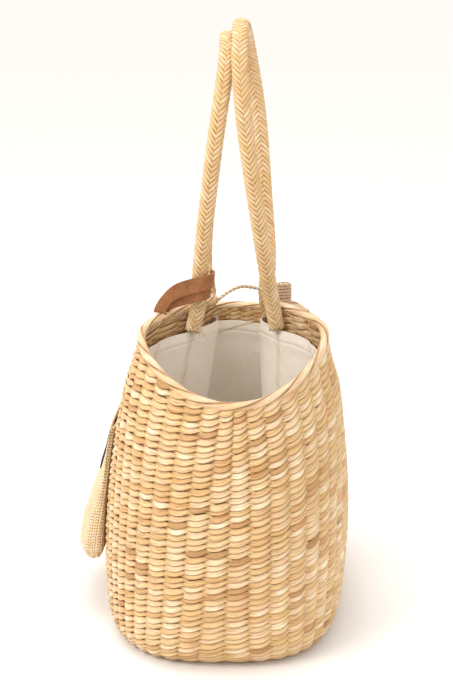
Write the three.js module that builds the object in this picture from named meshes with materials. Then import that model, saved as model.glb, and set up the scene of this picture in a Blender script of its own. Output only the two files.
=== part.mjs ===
// Straw basket bag: a twined oval basket whose long walls are drawn together at mid
// length, with two braided handles, a cotton lining, a leather strap over the left
// rim, a cord and toggle closure, and a small straw pouch hung on the left wall.
// All sizes are in millimetres. X runs across the bag, Y along it and Z up.
// The origin is the centre of the flat base.
import * as THREE from "three";

// Basket
const BASKET_WIDTH = 226; // outside, at the belly
const BASKET_LENGTH = 376; // outside, at the belly
const BASKET_HEIGHT = 288; // to the top of the border at mid length
const MOUTH_WIDTH = 197; // across the lobes of the rim, were they not drawn in
const MOUTH_LENGTH = 335;
const WALL = 5; // twined flat straw over stakes
const BASE_THICKNESS = 5;
const BASE_SHIFT = -3; // sideways place of the base's middle
const MOUTH_SHIFT = 13; // sideways place of the mouth's middle, at the pinch
const LOBE_SHIFT = -7.5; // sideways place of the mouth's two lobes from the pinch
const BORDER_DIAMETER = 7; // rolled straw border on the top edge
const CLEARANCE = 0.3; // between pieces that touch

// Where the handles draw the long walls together
const PINCH_GAP = 43; // left between the two walls at the rim
const PINCH_REACH = 50; // how far the walls are drawn in towards the near end
const FAR_PINCH_REACH = 66; // and towards the far end
const NEAR_DIP = 52; // drop of the rim at the near end
const NEAR_DIP_REACH = 240;
const FAR_DIP = 46.5; // drop of the rim at the far end
const FAR_DIP_REACH = 70;

// Handles
const HANDLE_WIDTH = 15; // braid, across the bag
const HANDLE_DEPTH = 12; // braid, in the plane of the loop
const RIGHT_FOOT_PLACE = 33; // feet from mid length
const LEFT_FOOT_PLACE = 38;
const RIGHT_SPREAD = 61; // half width of the loop at its widest
const LEFT_SPREAD = 56;
const RIGHT_CROWN_HEIGHT = 532;
const RIGHT_CROWN_PLACE = 13;
const LEFT_CROWN_HEIGHT = 521;
const LEFT_CROWN_PLACE = 1;

// Lining
const LINING = 1.5; // cotton with its hem
const LINING_DROP = 24; // top edge below the rim at the lobes
const HEM_END_RISE = 0.2; // share of the drop by which the hem stands higher at the ends
const HEM_END_POWER = 12;
const HEM_PINCH_RISE = 0.04; // and at the pinch
const HEM_PINCH_POWER = 20;
const LINING_SLACK = 1.2; // air between the straw and the cotton

// Leather strap
const STRAP_WIDTH = 13;
const STRAP_THICKNESS = 2;
const STRAP_SLOPE_AT_LEG = 14;
const STRAP_SLOPE_AT_FOLD = 68;
const STRAP_HEIGHT = 300; // lower layer's middle at the leg
const STRAP_STAND = 8; // start of the fold above the border
const STRAP_LEG_STEP = 10; // of the upper layer above the lower one at the leg
const STRAP_FOLD_STEP = 3; // and at the fold
const STRAP_FOLD = 5.2; // between the layers at the fold
const STRAP_NIP = 2.5; // between the layers at the handle
const STRAP_PLAY = 1.5; // between the lower layer and the leg
const STRAP_WRAP = 0.8; // share of a half turn that its ends make round the leg

// Closure
const CORD_DIAMETER = 3;
const CORD_RISE = 8; // top of its arch above the rim
const CORD_ARCH = 0.45; // share of its way at which the arch is highest
const TOGGLE_DIAMETER = 15;
const TOGGLE_HEIGHT = 20;
const TOGGLE_PLACE = 21; // from mid length, towards the far end
const TOGGLE_RAISE = 2; // its middle above the rim
const TOGGLE_WRAPS = 5; // turns of twine
const TOGGLE_WRAP_DEPTH = 0.5;

// Pouch
const POUCH_WIDTH = 124;
const POUCH_HEIGHT = 128;
const POUCH_DEPTH = 22; // at its full bottom
const POUCH_BOTTOM = 50; // above the floor
const POUCH_WALL = 2;
const POUCH_BULGE = 3; // its middle stands out from its sides
const PATCH_WIDTH = 62;
const PATCH_HEIGHT = 42;
const PATCH_THICKNESS = 1.2;
const PATCH_DROP = 5; // below the pouch's mouth
const TIE_DIAMETER = 5;
const TIE_DROP = 6; // below the pouch's mouth
const TIE_PLACE = 10; // on each side of mid length

// How finely the faces are cut
const RING_SIDES = 56;
const LINING_SIDES = 56;
const BORDER_SIDES = 8;
const HANDLE_SIDES = 10;
const HANDLE_STEPS = 44;
const CORD_SIDES = 8;
const CORD_STEPS = 20;
const STRAP_STEPS = 8;
const POUCH_SIDES = 32;
const PATCH_STEPS = 6;
const TOGGLE_SIDES = 14;
const HALVINGS = 32; // in searches along a curve
const NUDGE = Math.PI / 720; // between two turns that give a direction

// Shares of the height at which rings of faces lie
const WALL_RINGS = [0, 0.012, 0.035, 0.09, 0.2, 0.34, 0.5, 0.66, 0.8];
const FLOOR_RING = 2; // where the inner floor meets the wall
const LINING_RINGS = [0.035, 0.1, 0.2, 0.33, 0.47, 0.6, 0.72, 0.82];
const POUCH_RINGS = [0, 0.03, 0.09, 0.2, 0.34, 0.5, 0.68, 0.84, 1];

// Sections of the basket from base to rim, as shares of its height, width and length.
// Pinch is the share of the drawing-in at the rim, squareness the corners' power.
const BASKET_SECTIONS = [
  { height: 0.0, width: 0.84, length: 0.86, pinch: 0.0, squareness: 3.0 },
  { height: 0.035, width: 0.93, length: 0.93, pinch: 0.0, squareness: 2.9 },
  { height: 0.1, width: 0.97, length: 0.972, pinch: 0.0, squareness: 2.75 },
  { height: 0.2, width: 0.99, length: 0.988, pinch: 0.0, squareness: 2.6 },
  { height: 0.34, width: 1.0, length: 1.0, pinch: 0.03, squareness: 2.5 },
  { height: 0.5, width: 0.993, length: 0.99, pinch: 0.12, squareness: 2.45 },
  { height: 0.66, width: 0.975, length: 0.965, pinch: 0.35, squareness: 2.4 },
  { height: 0.82, width: 0.955, length: 0.935, pinch: 0.74, squareness: 2.22 },
  { height: 0.92, width: 0.905, length: 0.905, pinch: 0.95, squareness: 2.1 },
  {
    height: 1.0,
    width: MOUTH_WIDTH / BASKET_WIDTH,
    length: MOUTH_LENGTH / BASKET_LENGTH,
    pinch: 1.0,
    squareness: 2.0,
  },
];

// The lining hangs straight down from the pinch, so it keeps its drawing-in for longer.
const LINING_FOLDS = [
  { height: 0.0, pinch: 0.0 },
  { height: 0.1, pinch: 0.14 },
  { height: 0.25, pinch: 0.45 },
  { height: 0.45, pinch: 0.76 },
  { height: 0.66, pinch: 0.95 },
  { height: 0.85, pinch: 1.0 },
  { height: 1.0, pinch: 1.0 },
];

// Loops of the handles from foot to crown: rise as a share of the whole rise, spread as
// a share of the widest, and each leg's share of the sideways way to the crown.
const HANDLE_STATIONS = [
  { rise: 0, spread: 0, rightNear: 0, rightFar: 0, leftNear: 0, leftFar: 0 },
  { rise: 0.09, spread: 0, rightNear: 0.06, rightFar: 0, leftNear: 0, leftFar: 0 },
  { rise: 0.18, spread: 0.2, rightNear: 0.195, rightFar: -0.1, leftNear: 0.046, leftFar: -0.2 },
  { rise: 0.41, spread: 0.75, rightNear: 0.53, rightFar: 0.05, leftNear: 0.278, leftFar: -0.03 },
  { rise: 0.69, spread: 1, rightNear: 0.9, rightFar: 0.31, leftNear: 0.616, leftFar: 0.5 },
  { rise: 0.885, spread: 1, rightNear: 1.06, rightFar: 0.68, leftNear: 0.9, leftFar: 0.92 },
  { rise: 0.97, spread: 1, rightNear: 1.04, rightFar: 0.88, leftNear: 1, leftFar: 1 },
];
const CROWN_START = 0.69; // rise from which the loop is a quarter ellipse

// Pouch from its bottom to its mouth: shares of its height, width and depth, and how far
// its back stands off the wall, as a share of its depth.
const POUCH_SECTIONS = [
  { height: 0.0, width: 0.8, depth: 0.35, out: 0.3 },
  { height: 0.03, width: 0.9, depth: 0.66, out: 0.14 },
  { height: 0.09, width: 0.97, depth: 0.98, out: 0.02 },
  { height: 0.2, width: 1.0, depth: 0.92, out: 0.0 },
  { height: 0.38, width: 1.0, depth: 0.68, out: 0.0 },
  { height: 0.62, width: 1.0, depth: 0.42, out: 0.0 },
  { height: 0.82, width: 0.98, depth: 0.34, out: 0.03 },
  { height: 1.0, width: 0.96, depth: 0.34, out: 0.08 },
];
const POUCH_SQUARENESS = 4.5;

// From the border's middle to the corners of its cut section
const BORDER_REACH = BORDER_DIAMETER / 2 / Math.cos(Math.PI / BORDER_SIDES);

// Smooth curve through the rows of a table, without overshoot
function tableValue(rows, column, at) {
  const last = rows.length - 1;
  const place = Math.min(Math.max(at, rows[0].height), rows[last].height);
  let row = 0;
  while (row < last - 1 && rows[row + 1].height < place) {
    row += 1;
  }
  const step = (i) => rows[i + 1].height - rows[i].height;
  const rise = (i) => (rows[i + 1][column] - rows[i][column]) / step(i);
  const slope = (i) => {
    if (i === 0) {
      return rise(0);
    }
    if (i === last) {
      return rise(last - 1);
    }
    if (rise(i - 1) * rise(i) <= 0) {
      return 0;
    }
    const before = 2 * step(i) + step(i - 1);
    const after = step(i) + 2 * step(i - 1);
    return (before + after) / (before / rise(i - 1) + after / rise(i));
  };
  const t = (place - rows[row].height) / step(row);
  const keep = 2 * t ** 3 - 3 * t ** 2 + 1;
  const leave = t ** 3 - 2 * t ** 2 + t;
  const arrive = t ** 3 - t ** 2;
  const from = rows[row][column];
  const to = rows[row + 1][column];
  return keep * from + (1 - keep) * to + step(row) * (leave * slope(row) + arrive * slope(row + 1));
}

function smoothStep(share) {
  const t = Math.min(Math.max(share, 0), 1);
  return t * t * (3 - 2 * t);
}

function signedPower(value, power) {
  return Math.sign(value) * Math.abs(value) ** power;
}

// Height of the rim above the floor at a place along the bag
function rimHeight(y) {
  const dip = y < 0 ? NEAR_DIP : FAR_DIP;
  const reach = y < 0 ? NEAR_DIP_REACH : FAR_DIP_REACH;
  const fall = (place) => 1 - Math.exp(-((place / reach) ** 2));
  return BASKET_HEIGHT - (dip * fall(y)) / fall(MOUTH_LENGTH / 2);
}

// Point of the basket's outer face, for a turn about the bag and a share of the height
function outerPoint(turn, height, foldTable = BASKET_SECTIONS) {
  const width = (BASKET_WIDTH / 2) * tableValue(BASKET_SECTIONS, "width", height);
  const length = (BASKET_LENGTH / 2) * tableValue(BASKET_SECTIONS, "length", height);
  const power = 2 / tableValue(BASKET_SECTIONS, "squareness", height);
  const fold = tableValue(foldTable, "pinch", height);
  const across = width * signedPower(Math.cos(turn), power);
  const y = length * signedPower(Math.sin(turn), power);
  const reach = y < 0 ? PINCH_REACH : FAR_PINCH_REACH;
  const near = Math.exp(-((y / reach) ** 2));
  const drawn = 1 - (1 - (PINCH_GAP + 2 * WALL) / MOUTH_WIDTH) * fold * near;
  const shift = BASE_SHIFT + (MOUTH_SHIFT - BASE_SHIFT + LOBE_SHIFT * (1 - near)) * height;
  return new THREE.Vector3(across * drawn + shift, y, height * rimHeight(y));
}

// The same point moved inwards, square to the section's outline
function insetPoint(turn, height, inset, foldTable) {
  const point = outerPoint(turn, height, foldTable);
  const along = outerPoint(turn + NUDGE, height, foldTable).sub(outerPoint(turn - NUDGE, height, foldTable));
  const size = Math.hypot(along.x, along.y);
  point.x -= (inset * along.y) / size;
  point.y += (inset * along.x) / size;
  return point;
}

// Turn at which the section at a height reaches a place along the bag, on one side
function turnAt(y, height, side, inset = 0) {
  let low = -Math.PI / 2;
  let high = Math.PI / 2;
  for (let i = 0; i < HALVINGS; i += 1) {
    const middle = (low + high) / 2;
    const turn = side > 0 ? middle : Math.PI - middle;
    if (insetPoint(turn, height, inset).y < y) {
      low = middle;
    } else {
      high = middle;
    }
  }
  return side > 0 ? low : Math.PI - low;
}

// Share of the height of a point that lies a drop below the rim
function shareBelowRim(turn, drop) {
  let share = 1;
  for (let i = 0; i < 4; i += 1) {
    share = 1 - drop / rimHeight(outerPoint(turn, share).y);
  }
  return share;
}

function ring(sides, pointAt) {
  const points = [];
  for (let i = 0; i < sides; i += 1) {
    points.push(pointAt((i / sides) * 2 * Math.PI, i));
  }
  return points;
}

// Closed body through rings that have equally many points; closed ends are fans, and a
// looped body joins its last ring to its first.
function loftRings(rings, looped = false) {
  const sides = rings[0].length;
  const positions = [];
  const addTriangle = (a, b, c) => {
    for (const p of [a, b, c]) {
      positions.push(p.x, p.y, p.z);
    }
  };
  const bands = looped ? rings.length : rings.length - 1;
  for (let r = 0; r < bands; r += 1) {
    const lower = rings[r];
    const upper = rings[(r + 1) % rings.length];
    for (let i = 0; i < sides; i += 1) {
      const next = (i + 1) % sides;
      addTriangle(lower[i], lower[next], upper[next]);
      addTriangle(lower[i], upper[next], upper[i]);
    }
  }
  if (!looped) {
    const cap = (points, flip) => {
      const middle = new THREE.Vector3();
      for (const p of points) {
        middle.addScaledVector(p, 1 / points.length);
      }
      for (let i = 0; i < sides; i += 1) {
        const next = (i + 1) % sides;
        if (flip) {
          addTriangle(middle, points[i], points[next]);
        } else {
          addTriangle(middle, points[next], points[i]);
        }
      }
    };
    cap(rings[0], false);
    cap(rings[rings.length - 1], true);
  }
  const geometry = new THREE.BufferGeometry();
  geometry.setAttribute("position", new THREE.Float32BufferAttribute(positions, 3));
  geometry.computeVertexNormals();
  return geometry;
}

// Round or oval rod along stations, each with a centre and the direction of its width
function sweepSection(stations, section) {
  const rings = stations.map((station, i) => {
    const before = stations[Math.max(i - 1, 0)].centre;
    const after = stations[Math.min(i + 1, stations.length - 1)].centre;
    const along = after.clone().sub(before).normalize();
    const side = station.side.clone().addScaledVector(along, -station.side.dot(along)).normalize();
    const face = along.clone().cross(side);
    return section.map((p) => station.centre.clone().addScaledVector(side, p.x).addScaledVector(face, p.y));
  });
  return loftRings(rings);
}

function ovalSection(width, depth, sides) {
  return ring(sides, (turn) => new THREE.Vector2((width / 2) * Math.cos(turn), (depth / 2) * Math.sin(turn)));
}

function flatSection(width, thickness) {
  const w = width / 2;
  const t = thickness / 2;
  const corners = [[w, -t], [w, t], [-w, t], [-w, -t]];
  return corners.map(([across, through]) => new THREE.Vector2(across, through));
}

// Middle of the rolled border at a turn about the rim
function borderMiddle(turn) {
  return insetPoint(turn, shareBelowRim(turn, BORDER_DIAMETER / 2), WALL / 2);
}

// Direction of the border at a turn about the rim
function borderAlong(turn) {
  const nudge = Math.PI / RING_SIDES / 2;
  return borderMiddle(turn + nudge).sub(borderMiddle(turn - nudge)).normalize();
}

// Drop of the wall's top edge below the rim, which carries the border where it slopes
function edgeDrop(turn) {
  const along = borderAlong(turn);
  const level = Math.hypot(along.x, along.y);
  return BORDER_DIAMETER / 2 + (BORDER_DIAMETER / 2 + 2 * CLEARANCE) / level;
}

// Basket body: outer face from the base up, over the top edge and down the inner face
function basketBody() {
  const edge = (turn, inset) => insetPoint(turn, shareBelowRim(turn, edgeDrop(turn)), inset);
  const rings = [];
  for (const share of WALL_RINGS) {
    rings.push(ring(RING_SIDES, (turn) => outerPoint(turn, share)));
  }
  rings.push(ring(RING_SIDES, (turn) => edge(turn, 0)));
  rings.push(ring(RING_SIDES, (turn) => edge(turn, WALL)));
  for (const share of WALL_RINGS.slice(FLOOR_RING + 1).reverse()) {
    rings.push(ring(RING_SIDES, (turn) => insetPoint(turn, share, WALL)));
  }
  rings.push(ring(RING_SIDES, (turn) => {
    const point = insetPoint(turn, WALL_RINGS[FLOOR_RING], WALL);
    point.z = BASE_THICKNESS;
    return point;
  }));
  return loftRings(rings);
}

function rimBorder() {
  const up = new THREE.Vector3(0, 0, 1);
  const rings = ring(RING_SIDES, (turn) => {
    const middle = borderMiddle(turn);
    const along = borderAlong(turn);
    const out = along.clone().cross(up).normalize();
    const rise = out.clone().cross(along);
    return ring(BORDER_SIDES, (around, i) => {
      const angle = around + Math.PI / BORDER_SIDES;
      return middle.clone()
        .addScaledVector(out, BORDER_REACH * Math.cos(angle))
        .addScaledVector(rise, -BORDER_REACH * Math.sin(angle));
    });
  });
  return loftRings(rings, true);
}

// Drop of the lining's top edge below the rim, less at the pinch and at the ends
function liningDrop(turn) {
  const endShare = Math.abs(Math.sin(turn)) ** HEM_END_POWER;
  const pinchShare = Math.abs(Math.cos(turn)) ** HEM_PINCH_POWER;
  return LINING_DROP * (1 - HEM_END_RISE * endShare - HEM_PINCH_RISE * pinchShare);
}

function liningPoint(turn, share, depth) {
  const inset = WALL + LINING_SLACK + depth;
  return insetPoint(turn, share, inset, LINING_FOLDS);
}

function lining() {
  const bottom = BASE_THICKNESS + CLEARANCE;
  const rings = [];
  const floorRing = (depth, z) => ring(LINING_SIDES, (turn) => {
    const point = liningPoint(turn, LINING_RINGS[0], depth);
    point.z = z;
    return point;
  });
  const wallRings = (depth) => LINING_RINGS.slice(1).map((share) => (
    ring(LINING_SIDES, (turn) => liningPoint(turn, share, depth))
  ));
  const edgeRing = (depth) => ring(LINING_SIDES, (turn) => (
    liningPoint(turn, shareBelowRim(turn, liningDrop(turn)), depth)
  ));
  rings.push(floorRing(0, bottom));
  rings.push(...wallRings(0));
  rings.push(edgeRing(0));
  rings.push(edgeRing(LINING));
  rings.push(...wallRings(LINING).reverse());
  rings.push(floorRing(LINING, bottom + LINING));
  return loftRings(rings);
}

// Foot of a handle's leg: against the wall inside the rim, on the lining's top edge,
// and how far it leans out from where the leg passes the border
function handleFoot(side, end) {
  const place = end * (side > 0 ? RIGHT_FOOT_PLACE : LEFT_FOOT_PLACE);
  const ovalReach = Math.hypot(HANDLE_WIDTH, HANDLE_DEPTH) / 2 / Math.SQRT2;
  const reach = WALL / 2 + BORDER_REACH + CLEARANCE + ovalReach;
  const hems = [-1, 0, 1].map((way) => {
    const y = place + (way * HANDLE_DEPTH) / 2;
    return rimHeight(y) - liningDrop(turnAt(y, 1, side, WALL));
  });
  const foot = Math.max(...hems) + 5 * CLEARANCE;
  const insideAt = (share) => insetPoint(turnAt(place, share, side, reach), share, reach).x;
  const low = insideAt(foot / rimHeight(place));
  const inner = side > 0 ? Math.min(low, insideAt(1)) : Math.max(low, insideAt(1));
  return { point: new THREE.Vector3(inner, place, foot), lean: low - inner };
}

// Centre line of one handle from its near foot over the crown to its far foot
function handleLine(side) {
  const crownHeight = side > 0 ? RIGHT_CROWN_HEIGHT : LEFT_CROWN_HEIGHT;
  const crownPlace = side > 0 ? RIGHT_CROWN_PLACE : LEFT_CROWN_PLACE;
  const widest = side > 0 ? RIGHT_SPREAD : LEFT_SPREAD;
  const legPoints = (end) => {
    const { point: foot, lean } = handleFoot(side, end);
    const column = (side > 0 ? "right" : "left") + (end < 0 ? "Near" : "Far");
    return HANDLE_STATIONS.map((row) => {
      const crownShare = Math.max(0, (row.rise - CROWN_START) / (1 - CROWN_START));
      const footReach = Math.abs(foot.y);
      const half = footReach + (widest - footReach) * row.spread;
      return new THREE.Vector3(
        foot.x + (row.rise > 0 ? 0 : lean) + (crownPlace - foot.x) * row[column],
        end * half * Math.sqrt(1 - crownShare ** 2),
        foot.z + (crownHeight - foot.z) * row.rise,
      );
    });
  };
  const crown = new THREE.Vector3(crownPlace, 0, crownHeight);
  return new THREE.CatmullRomCurve3([...legPoints(-1), crown, ...legPoints(1).reverse()]);
}

function handle(side) {
  const line = handleLine(side);
  const stations = [];
  for (let i = 0; i <= HANDLE_STEPS; i += 1) {
    stations.push({ centre: line.getPointAt(i / HANDLE_STEPS), side: new THREE.Vector3(1, 0, 0) });
  }
  return sweepSection(stations, ovalSection(HANDLE_WIDTH, HANDLE_DEPTH, HANDLE_SIDES));
}

// Point of a handle's near leg at a height
function nearLegAt(line, z) {
  let low = 0;
  let high = 0.5;
  for (let i = 0; i < HALVINGS; i += 1) {
    const middle = (low + high) / 2;
    if (line.getPoint(middle).z < z) {
      low = middle;
    } else {
      high = middle;
    }
  }
  return line.getPoint(low);
}

// Leather strap: two layers that curve from the left handle's near leg down over the
// border, joined by a fold outside it; both ends turn round the leg.
function leatherStrap() {
  const level = THREE.MathUtils.degToRad(STRAP_SLOPE_AT_LEG);
  const steep = THREE.MathUtils.degToRad(STRAP_SLOPE_AT_FOLD);
  const line = handleLine(-1);
  const frontReach = HANDLE_DEPTH / 2 + STRAP_THICKNESS / 2 + STRAP_PLAY;
  const foldMiddle = nearLegAt(line, BASKET_HEIGHT).y - frontReach - STRAP_NIP / 2;
  const border = borderMiddle(turnAt(foldMiddle - STRAP_FOLD / 2 - STRAP_THICKNESS, 1, -1));
  const stand = BORDER_REACH + STRAP_STAND;
  const bandEnd = (step) => new THREE.Vector2(
    border.x - step * Math.sin(steep) + stand * Math.cos(steep),
    border.z + step * Math.cos(steep) + stand * Math.sin(steep),
  );
  // Middle line of a layer, seen from the near end of the bag
  const layerLine = (legStep, foldStep) => {
    const leg = nearLegAt(line, STRAP_HEIGHT + legStep);
    const end = bandEnd(foldStep);
    const spanX = leg.x - end.x;
    const reach = (leg.z - end.y - spanX * Math.tan(level)) / (Math.tan(steep) - Math.tan(level));
    const bend = new THREE.Vector2(end.x + reach, end.y + reach * Math.tan(steep));
    return new THREE.QuadraticBezierCurve(new THREE.Vector2(leg.x, leg.z), bend, end);
  };
  // Direction of the band's width
  const sideOf = (along) => new THREE.Vector3(along.y, 0, -along.x).normalize();
  // End of a layer, from the front of the leg round its side to behind it
  const wrap = (legStep, extra) => {
    const across = HANDLE_WIDTH / 2 + STRAP_THICKNESS / 2 + STRAP_PLAY + extra;
    const rows = [];
    for (let i = 0; i < STRAP_STEPS; i += 1) {
      const share = i / STRAP_STEPS;
      const angle = share * Math.PI * STRAP_WRAP;
      const z = STRAP_HEIGHT + legStep + across * Math.sin((share * Math.PI) / 2) * Math.tan(level);
      const leg = nearLegAt(line, z);
      const legWay = nearLegAt(line, z + HANDLE_DEPTH).sub(leg).normalize();
      const centre = new THREE.Vector3(
        leg.x + across * Math.sin(angle),
        leg.y - (frontReach + extra) * Math.cos(angle),
        z,
      );
      const side = new THREE.Vector3(-Math.sin(level), 0, Math.cos(level));
      rows.push({ centre, side: side.lerp(legWay, Math.min(1, 2 * share)).normalize() });
    }
    return rows;
  };
  // Layer from the leg to the fold
  const run = (legStep, foldStep, extra, foldPlace) => {
    const middle = layerLine(legStep, foldStep);
    const front = nearLegAt(line, STRAP_HEIGHT + legStep).y - frontReach - extra;
    const rows = [];
    for (let i = 1; i < STRAP_STEPS; i += 1) {
      const share = i / STRAP_STEPS;
      const point = middle.getPoint(share);
      const centre = new THREE.Vector3(point.x, front + (foldPlace - front) * share, point.y);
      rows.push({ centre, side: sideOf(middle.getTangent(share)) });
    }
    return rows;
  };
  const fold = [];
  for (let i = 0; i <= STRAP_STEPS; i += 1) {
    const share = i / STRAP_STEPS;
    const place = bandEnd(STRAP_FOLD_STEP * (1 - smoothStep(share)));
    const out = (STRAP_FOLD / 2) * Math.sin(share * Math.PI);
    const centre = new THREE.Vector3(
      place.x - out * Math.cos(steep),
      foldMiddle - (STRAP_FOLD / 2) * Math.cos(share * Math.PI),
      place.y - out * Math.sin(steep),
    );
    fold.push({ centre, side: new THREE.Vector3(-Math.sin(steep), 0, Math.cos(steep)) });
  }
  const stations = [
    ...wrap(STRAP_LEG_STEP, STRAP_NIP).reverse(),
    ...run(STRAP_LEG_STEP, STRAP_FOLD_STEP, STRAP_NIP, foldMiddle - STRAP_FOLD / 2),
    ...fold,
    ...run(0, 0, 0, foldMiddle + STRAP_FOLD / 2).reverse(),
    ...wrap(0, 0),
  ];
  return sweepSection(stations, flatSection(STRAP_WIDTH, STRAP_THICKNESS));
}

// Toggle's middle: against the outside of the border, past mid length
function toggleMiddle() {
  const turn = turnAt(TOGGLE_PLACE, 1, 1, WALL / 2);
  const reach = BORDER_REACH + 2 * CLEARANCE + TOGGLE_DIAMETER / 2;
  const middle = insetPoint(turn, 1, WALL / 2 - reach);
  middle.z += TOGGLE_RAISE;
  return middle;
}

function toggle() {
  const profile = [new THREE.Vector2(0, -TOGGLE_HEIGHT / 2)];
  const wrap = TOGGLE_HEIGHT / TOGGLE_WRAPS;
  const radius = TOGGLE_DIAMETER / 2;
  for (let i = 0; i < TOGGLE_WRAPS; i += 1) {
    const low = -TOGGLE_HEIGHT / 2 + i * wrap;
    const edge = i === 0 ? 2 * TOGGLE_WRAP_DEPTH : TOGGLE_WRAP_DEPTH;
    profile.push(new THREE.Vector2(radius - edge, low));
    profile.push(new THREE.Vector2(radius, low + wrap / 2));
  }
  profile.push(new THREE.Vector2(radius - 2 * TOGGLE_WRAP_DEPTH, TOGGLE_HEIGHT / 2));
  profile.push(new THREE.Vector2(0, TOGGLE_HEIGHT / 2));
  return new THREE.LatheGeometry(profile, TOGGLE_SIDES).rotateX(Math.PI / 2);
}

// Closure cord from the left border over the gap to the toggle
function closureCord() {
  const left = borderMiddle(turnAt(0, 1, -1));
  const right = borderMiddle(turnAt(TOGGLE_PLACE / 2, 1, 1));
  const knot = toggleMiddle();
  const lift = BORDER_REACH + CORD_DIAMETER / 2 + CLEARANCE;
  const start = left.clone().add(new THREE.Vector3(lift, 0, 0));
  const over = right.clone().add(new THREE.Vector3(0, 0, lift + CLEARANCE));
  const way = knot.clone().sub(over).setZ(0).normalize();
  const stop = TOGGLE_DIAMETER / 2 + CLEARANCE;
  const end = knot.clone().addScaledVector(way, -stop).setZ(over.z);
  const top = start.clone().lerp(over, CORD_ARCH).setZ(BASKET_HEIGHT + CORD_RISE - CORD_DIAMETER / 2);
  const early = start.clone().lerp(top, CORD_ARCH).setZ(BASKET_HEIGHT + CORD_RISE / 3);
  const line = new THREE.CatmullRomCurve3([start, early, top, over, end]);
  const stations = [];
  for (let i = 0; i <= CORD_STEPS; i += 1) {
    stations.push({ centre: line.getPointAt(i / CORD_STEPS), side: new THREE.Vector3(0, 1, 0) });
  }
  return sweepSection(stations, ovalSection(CORD_DIAMETER, CORD_DIAMETER, CORD_SIDES));
}

// Back of the pouch at a place along the bag: it spans the pinch from flank to flank,
// and bends out with the wall where the belly is full.
function pouchBack(y, share) {
  const z = POUCH_BOTTOM + POUCH_HEIGHT * share;
  const half = (POUCH_WIDTH / 2) * tableValue(POUCH_SECTIONS, "width", share);
  const wallAt = (place) => outerPoint(turnAt(place, z / rimHeight(place), -1), z / rimHeight(place)).x;
  const middle = (wallAt(-half) + wallAt(half)) / 2;
  const skew = (wallAt(half) - wallAt(-half)) / 2;
  const bow = Math.min(0, wallAt(0) - middle);
  const flat = middle + skew * (y / half) + bow * (1 - (y / half) ** 2);
  return flat - 2 * CLEARANCE - POUCH_DEPTH * tableValue(POUCH_SECTIONS, "out", share);
}

// Point of the pouch's outer face, or of its inner face at a depth below it
function pouchPoint(turn, share, depth) {
  const half = (POUCH_WIDTH / 2) * tableValue(POUCH_SECTIONS, "width", share) - depth;
  const thickness = POUCH_DEPTH * tableValue(POUCH_SECTIONS, "depth", share);
  const y = half * signedPower(Math.sin(turn), 2 / POUCH_SQUARENESS);
  const across = (thickness / 2 - depth) * signedPower(Math.cos(turn), 2 / POUCH_SQUARENESS);
  const facing = (1 - Math.cos(turn)) / 2;
  const bulge = POUCH_BULGE * facing * (1 - (y / half) ** 2);
  const x = pouchBack(y, share) - thickness / 2 + across - bulge;
  return new THREE.Vector3(x, y, POUCH_BOTTOM + POUCH_HEIGHT * share);
}

function sidePouch() {
  const inner = POUCH_RINGS.slice(FLOOR_RING).reverse();
  const rings = POUCH_RINGS.map((share) => ring(POUCH_SIDES, (turn) => pouchPoint(turn, share, 0)));
  rings.push(...inner.map((share) => ring(POUCH_SIDES, (turn) => pouchPoint(turn, share, POUCH_WALL))));
  return loftRings(rings);
}

// Plain patch on the pouch's outer face, bent to it
function pouchPatch() {
  const bottomShare = 1 - (PATCH_DROP + PATCH_HEIGHT) / POUCH_HEIGHT;
  const topShare = 1 - PATCH_DROP / POUCH_HEIGHT;
  const faceAt = (y, share) => {
    const half = (POUCH_WIDTH / 2) * tableValue(POUCH_SECTIONS, "width", share);
    const sine = signedPower(y / half, POUCH_SQUARENESS / 2);
    return pouchPoint(Math.PI - Math.asin(sine), share, 0);
  };
  const rings = [];
  for (let row = 0; row <= PATCH_STEPS; row += 1) {
    const share = bottomShare + ((topShare - bottomShare) * row) / PATCH_STEPS;
    const outer = [];
    const inner = [];
    for (let i = 0; i <= PATCH_STEPS; i += 1) {
      const y = PATCH_WIDTH * (0.5 - i / PATCH_STEPS);
      const point = faceAt(y, share);
      inner.push(point.clone().add(new THREE.Vector3(-2 * CLEARANCE, 0, 0)));
      outer.push(point.clone().add(new THREE.Vector3(-2 * CLEARANCE - PATCH_THICKNESS, 0, 0)));
    }
    rings.push([...outer, ...inner.reverse()]);
  }
  return loftRings(rings);
}

// Straw tie between the wall and the pouch's back, near one side of its mouth
function pouchTie(end) {
  const place = end * TIE_PLACE;
  const z = POUCH_BOTTOM + POUCH_HEIGHT - TIE_DROP;
  const levels = [z - TIE_DIAMETER / 2, z, z + TIE_DIAMETER / 2];
  const walls = levels.map((level) => {
    const height = level / rimHeight(place);
    return outerPoint(turnAt(place, height, -1), height).x;
  });
  const backs = levels.map((level) => pouchBack(place, (level - POUCH_BOTTOM) / POUCH_HEIGHT));
  const start = Math.max(...backs) + 2 * CLEARANCE;
  const length = Math.min(...walls) - 2 * CLEARANCE - start;
  const tie = new THREE.CylinderGeometry(TIE_DIAMETER / 2, TIE_DIAMETER / 2, length, CORD_SIDES);
  tie.rotateZ(Math.PI / 2);
  tie.translate(start + length / 2, place, z);
  return tie;
}

const finishes = {
  straw: { color: 0xd9b47a, roughness: 0.72, metalness: 0 },
  border: { color: 0xe0bd84, roughness: 0.6, metalness: 0 },
  cotton: { color: 0xd9d0c4, roughness: 0.9, metalness: 0 },
  leather: { color: 0x9a5c32, roughness: 0.65, metalness: 0 },
  twine: { color: 0xc2a78d, roughness: 0.85, metalness: 0 },
  darkLeather: { color: 0x1b1a1c, roughness: 0.5, metalness: 0 },
};

const bag = new THREE.Group();

function addPiece(name, geometry, finish) {
  const mesh = new THREE.Mesh(geometry, new THREE.MeshStandardMaterial(finishes[finish]));
  mesh.name = name;
  bag.add(mesh);
  return mesh;
}

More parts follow.
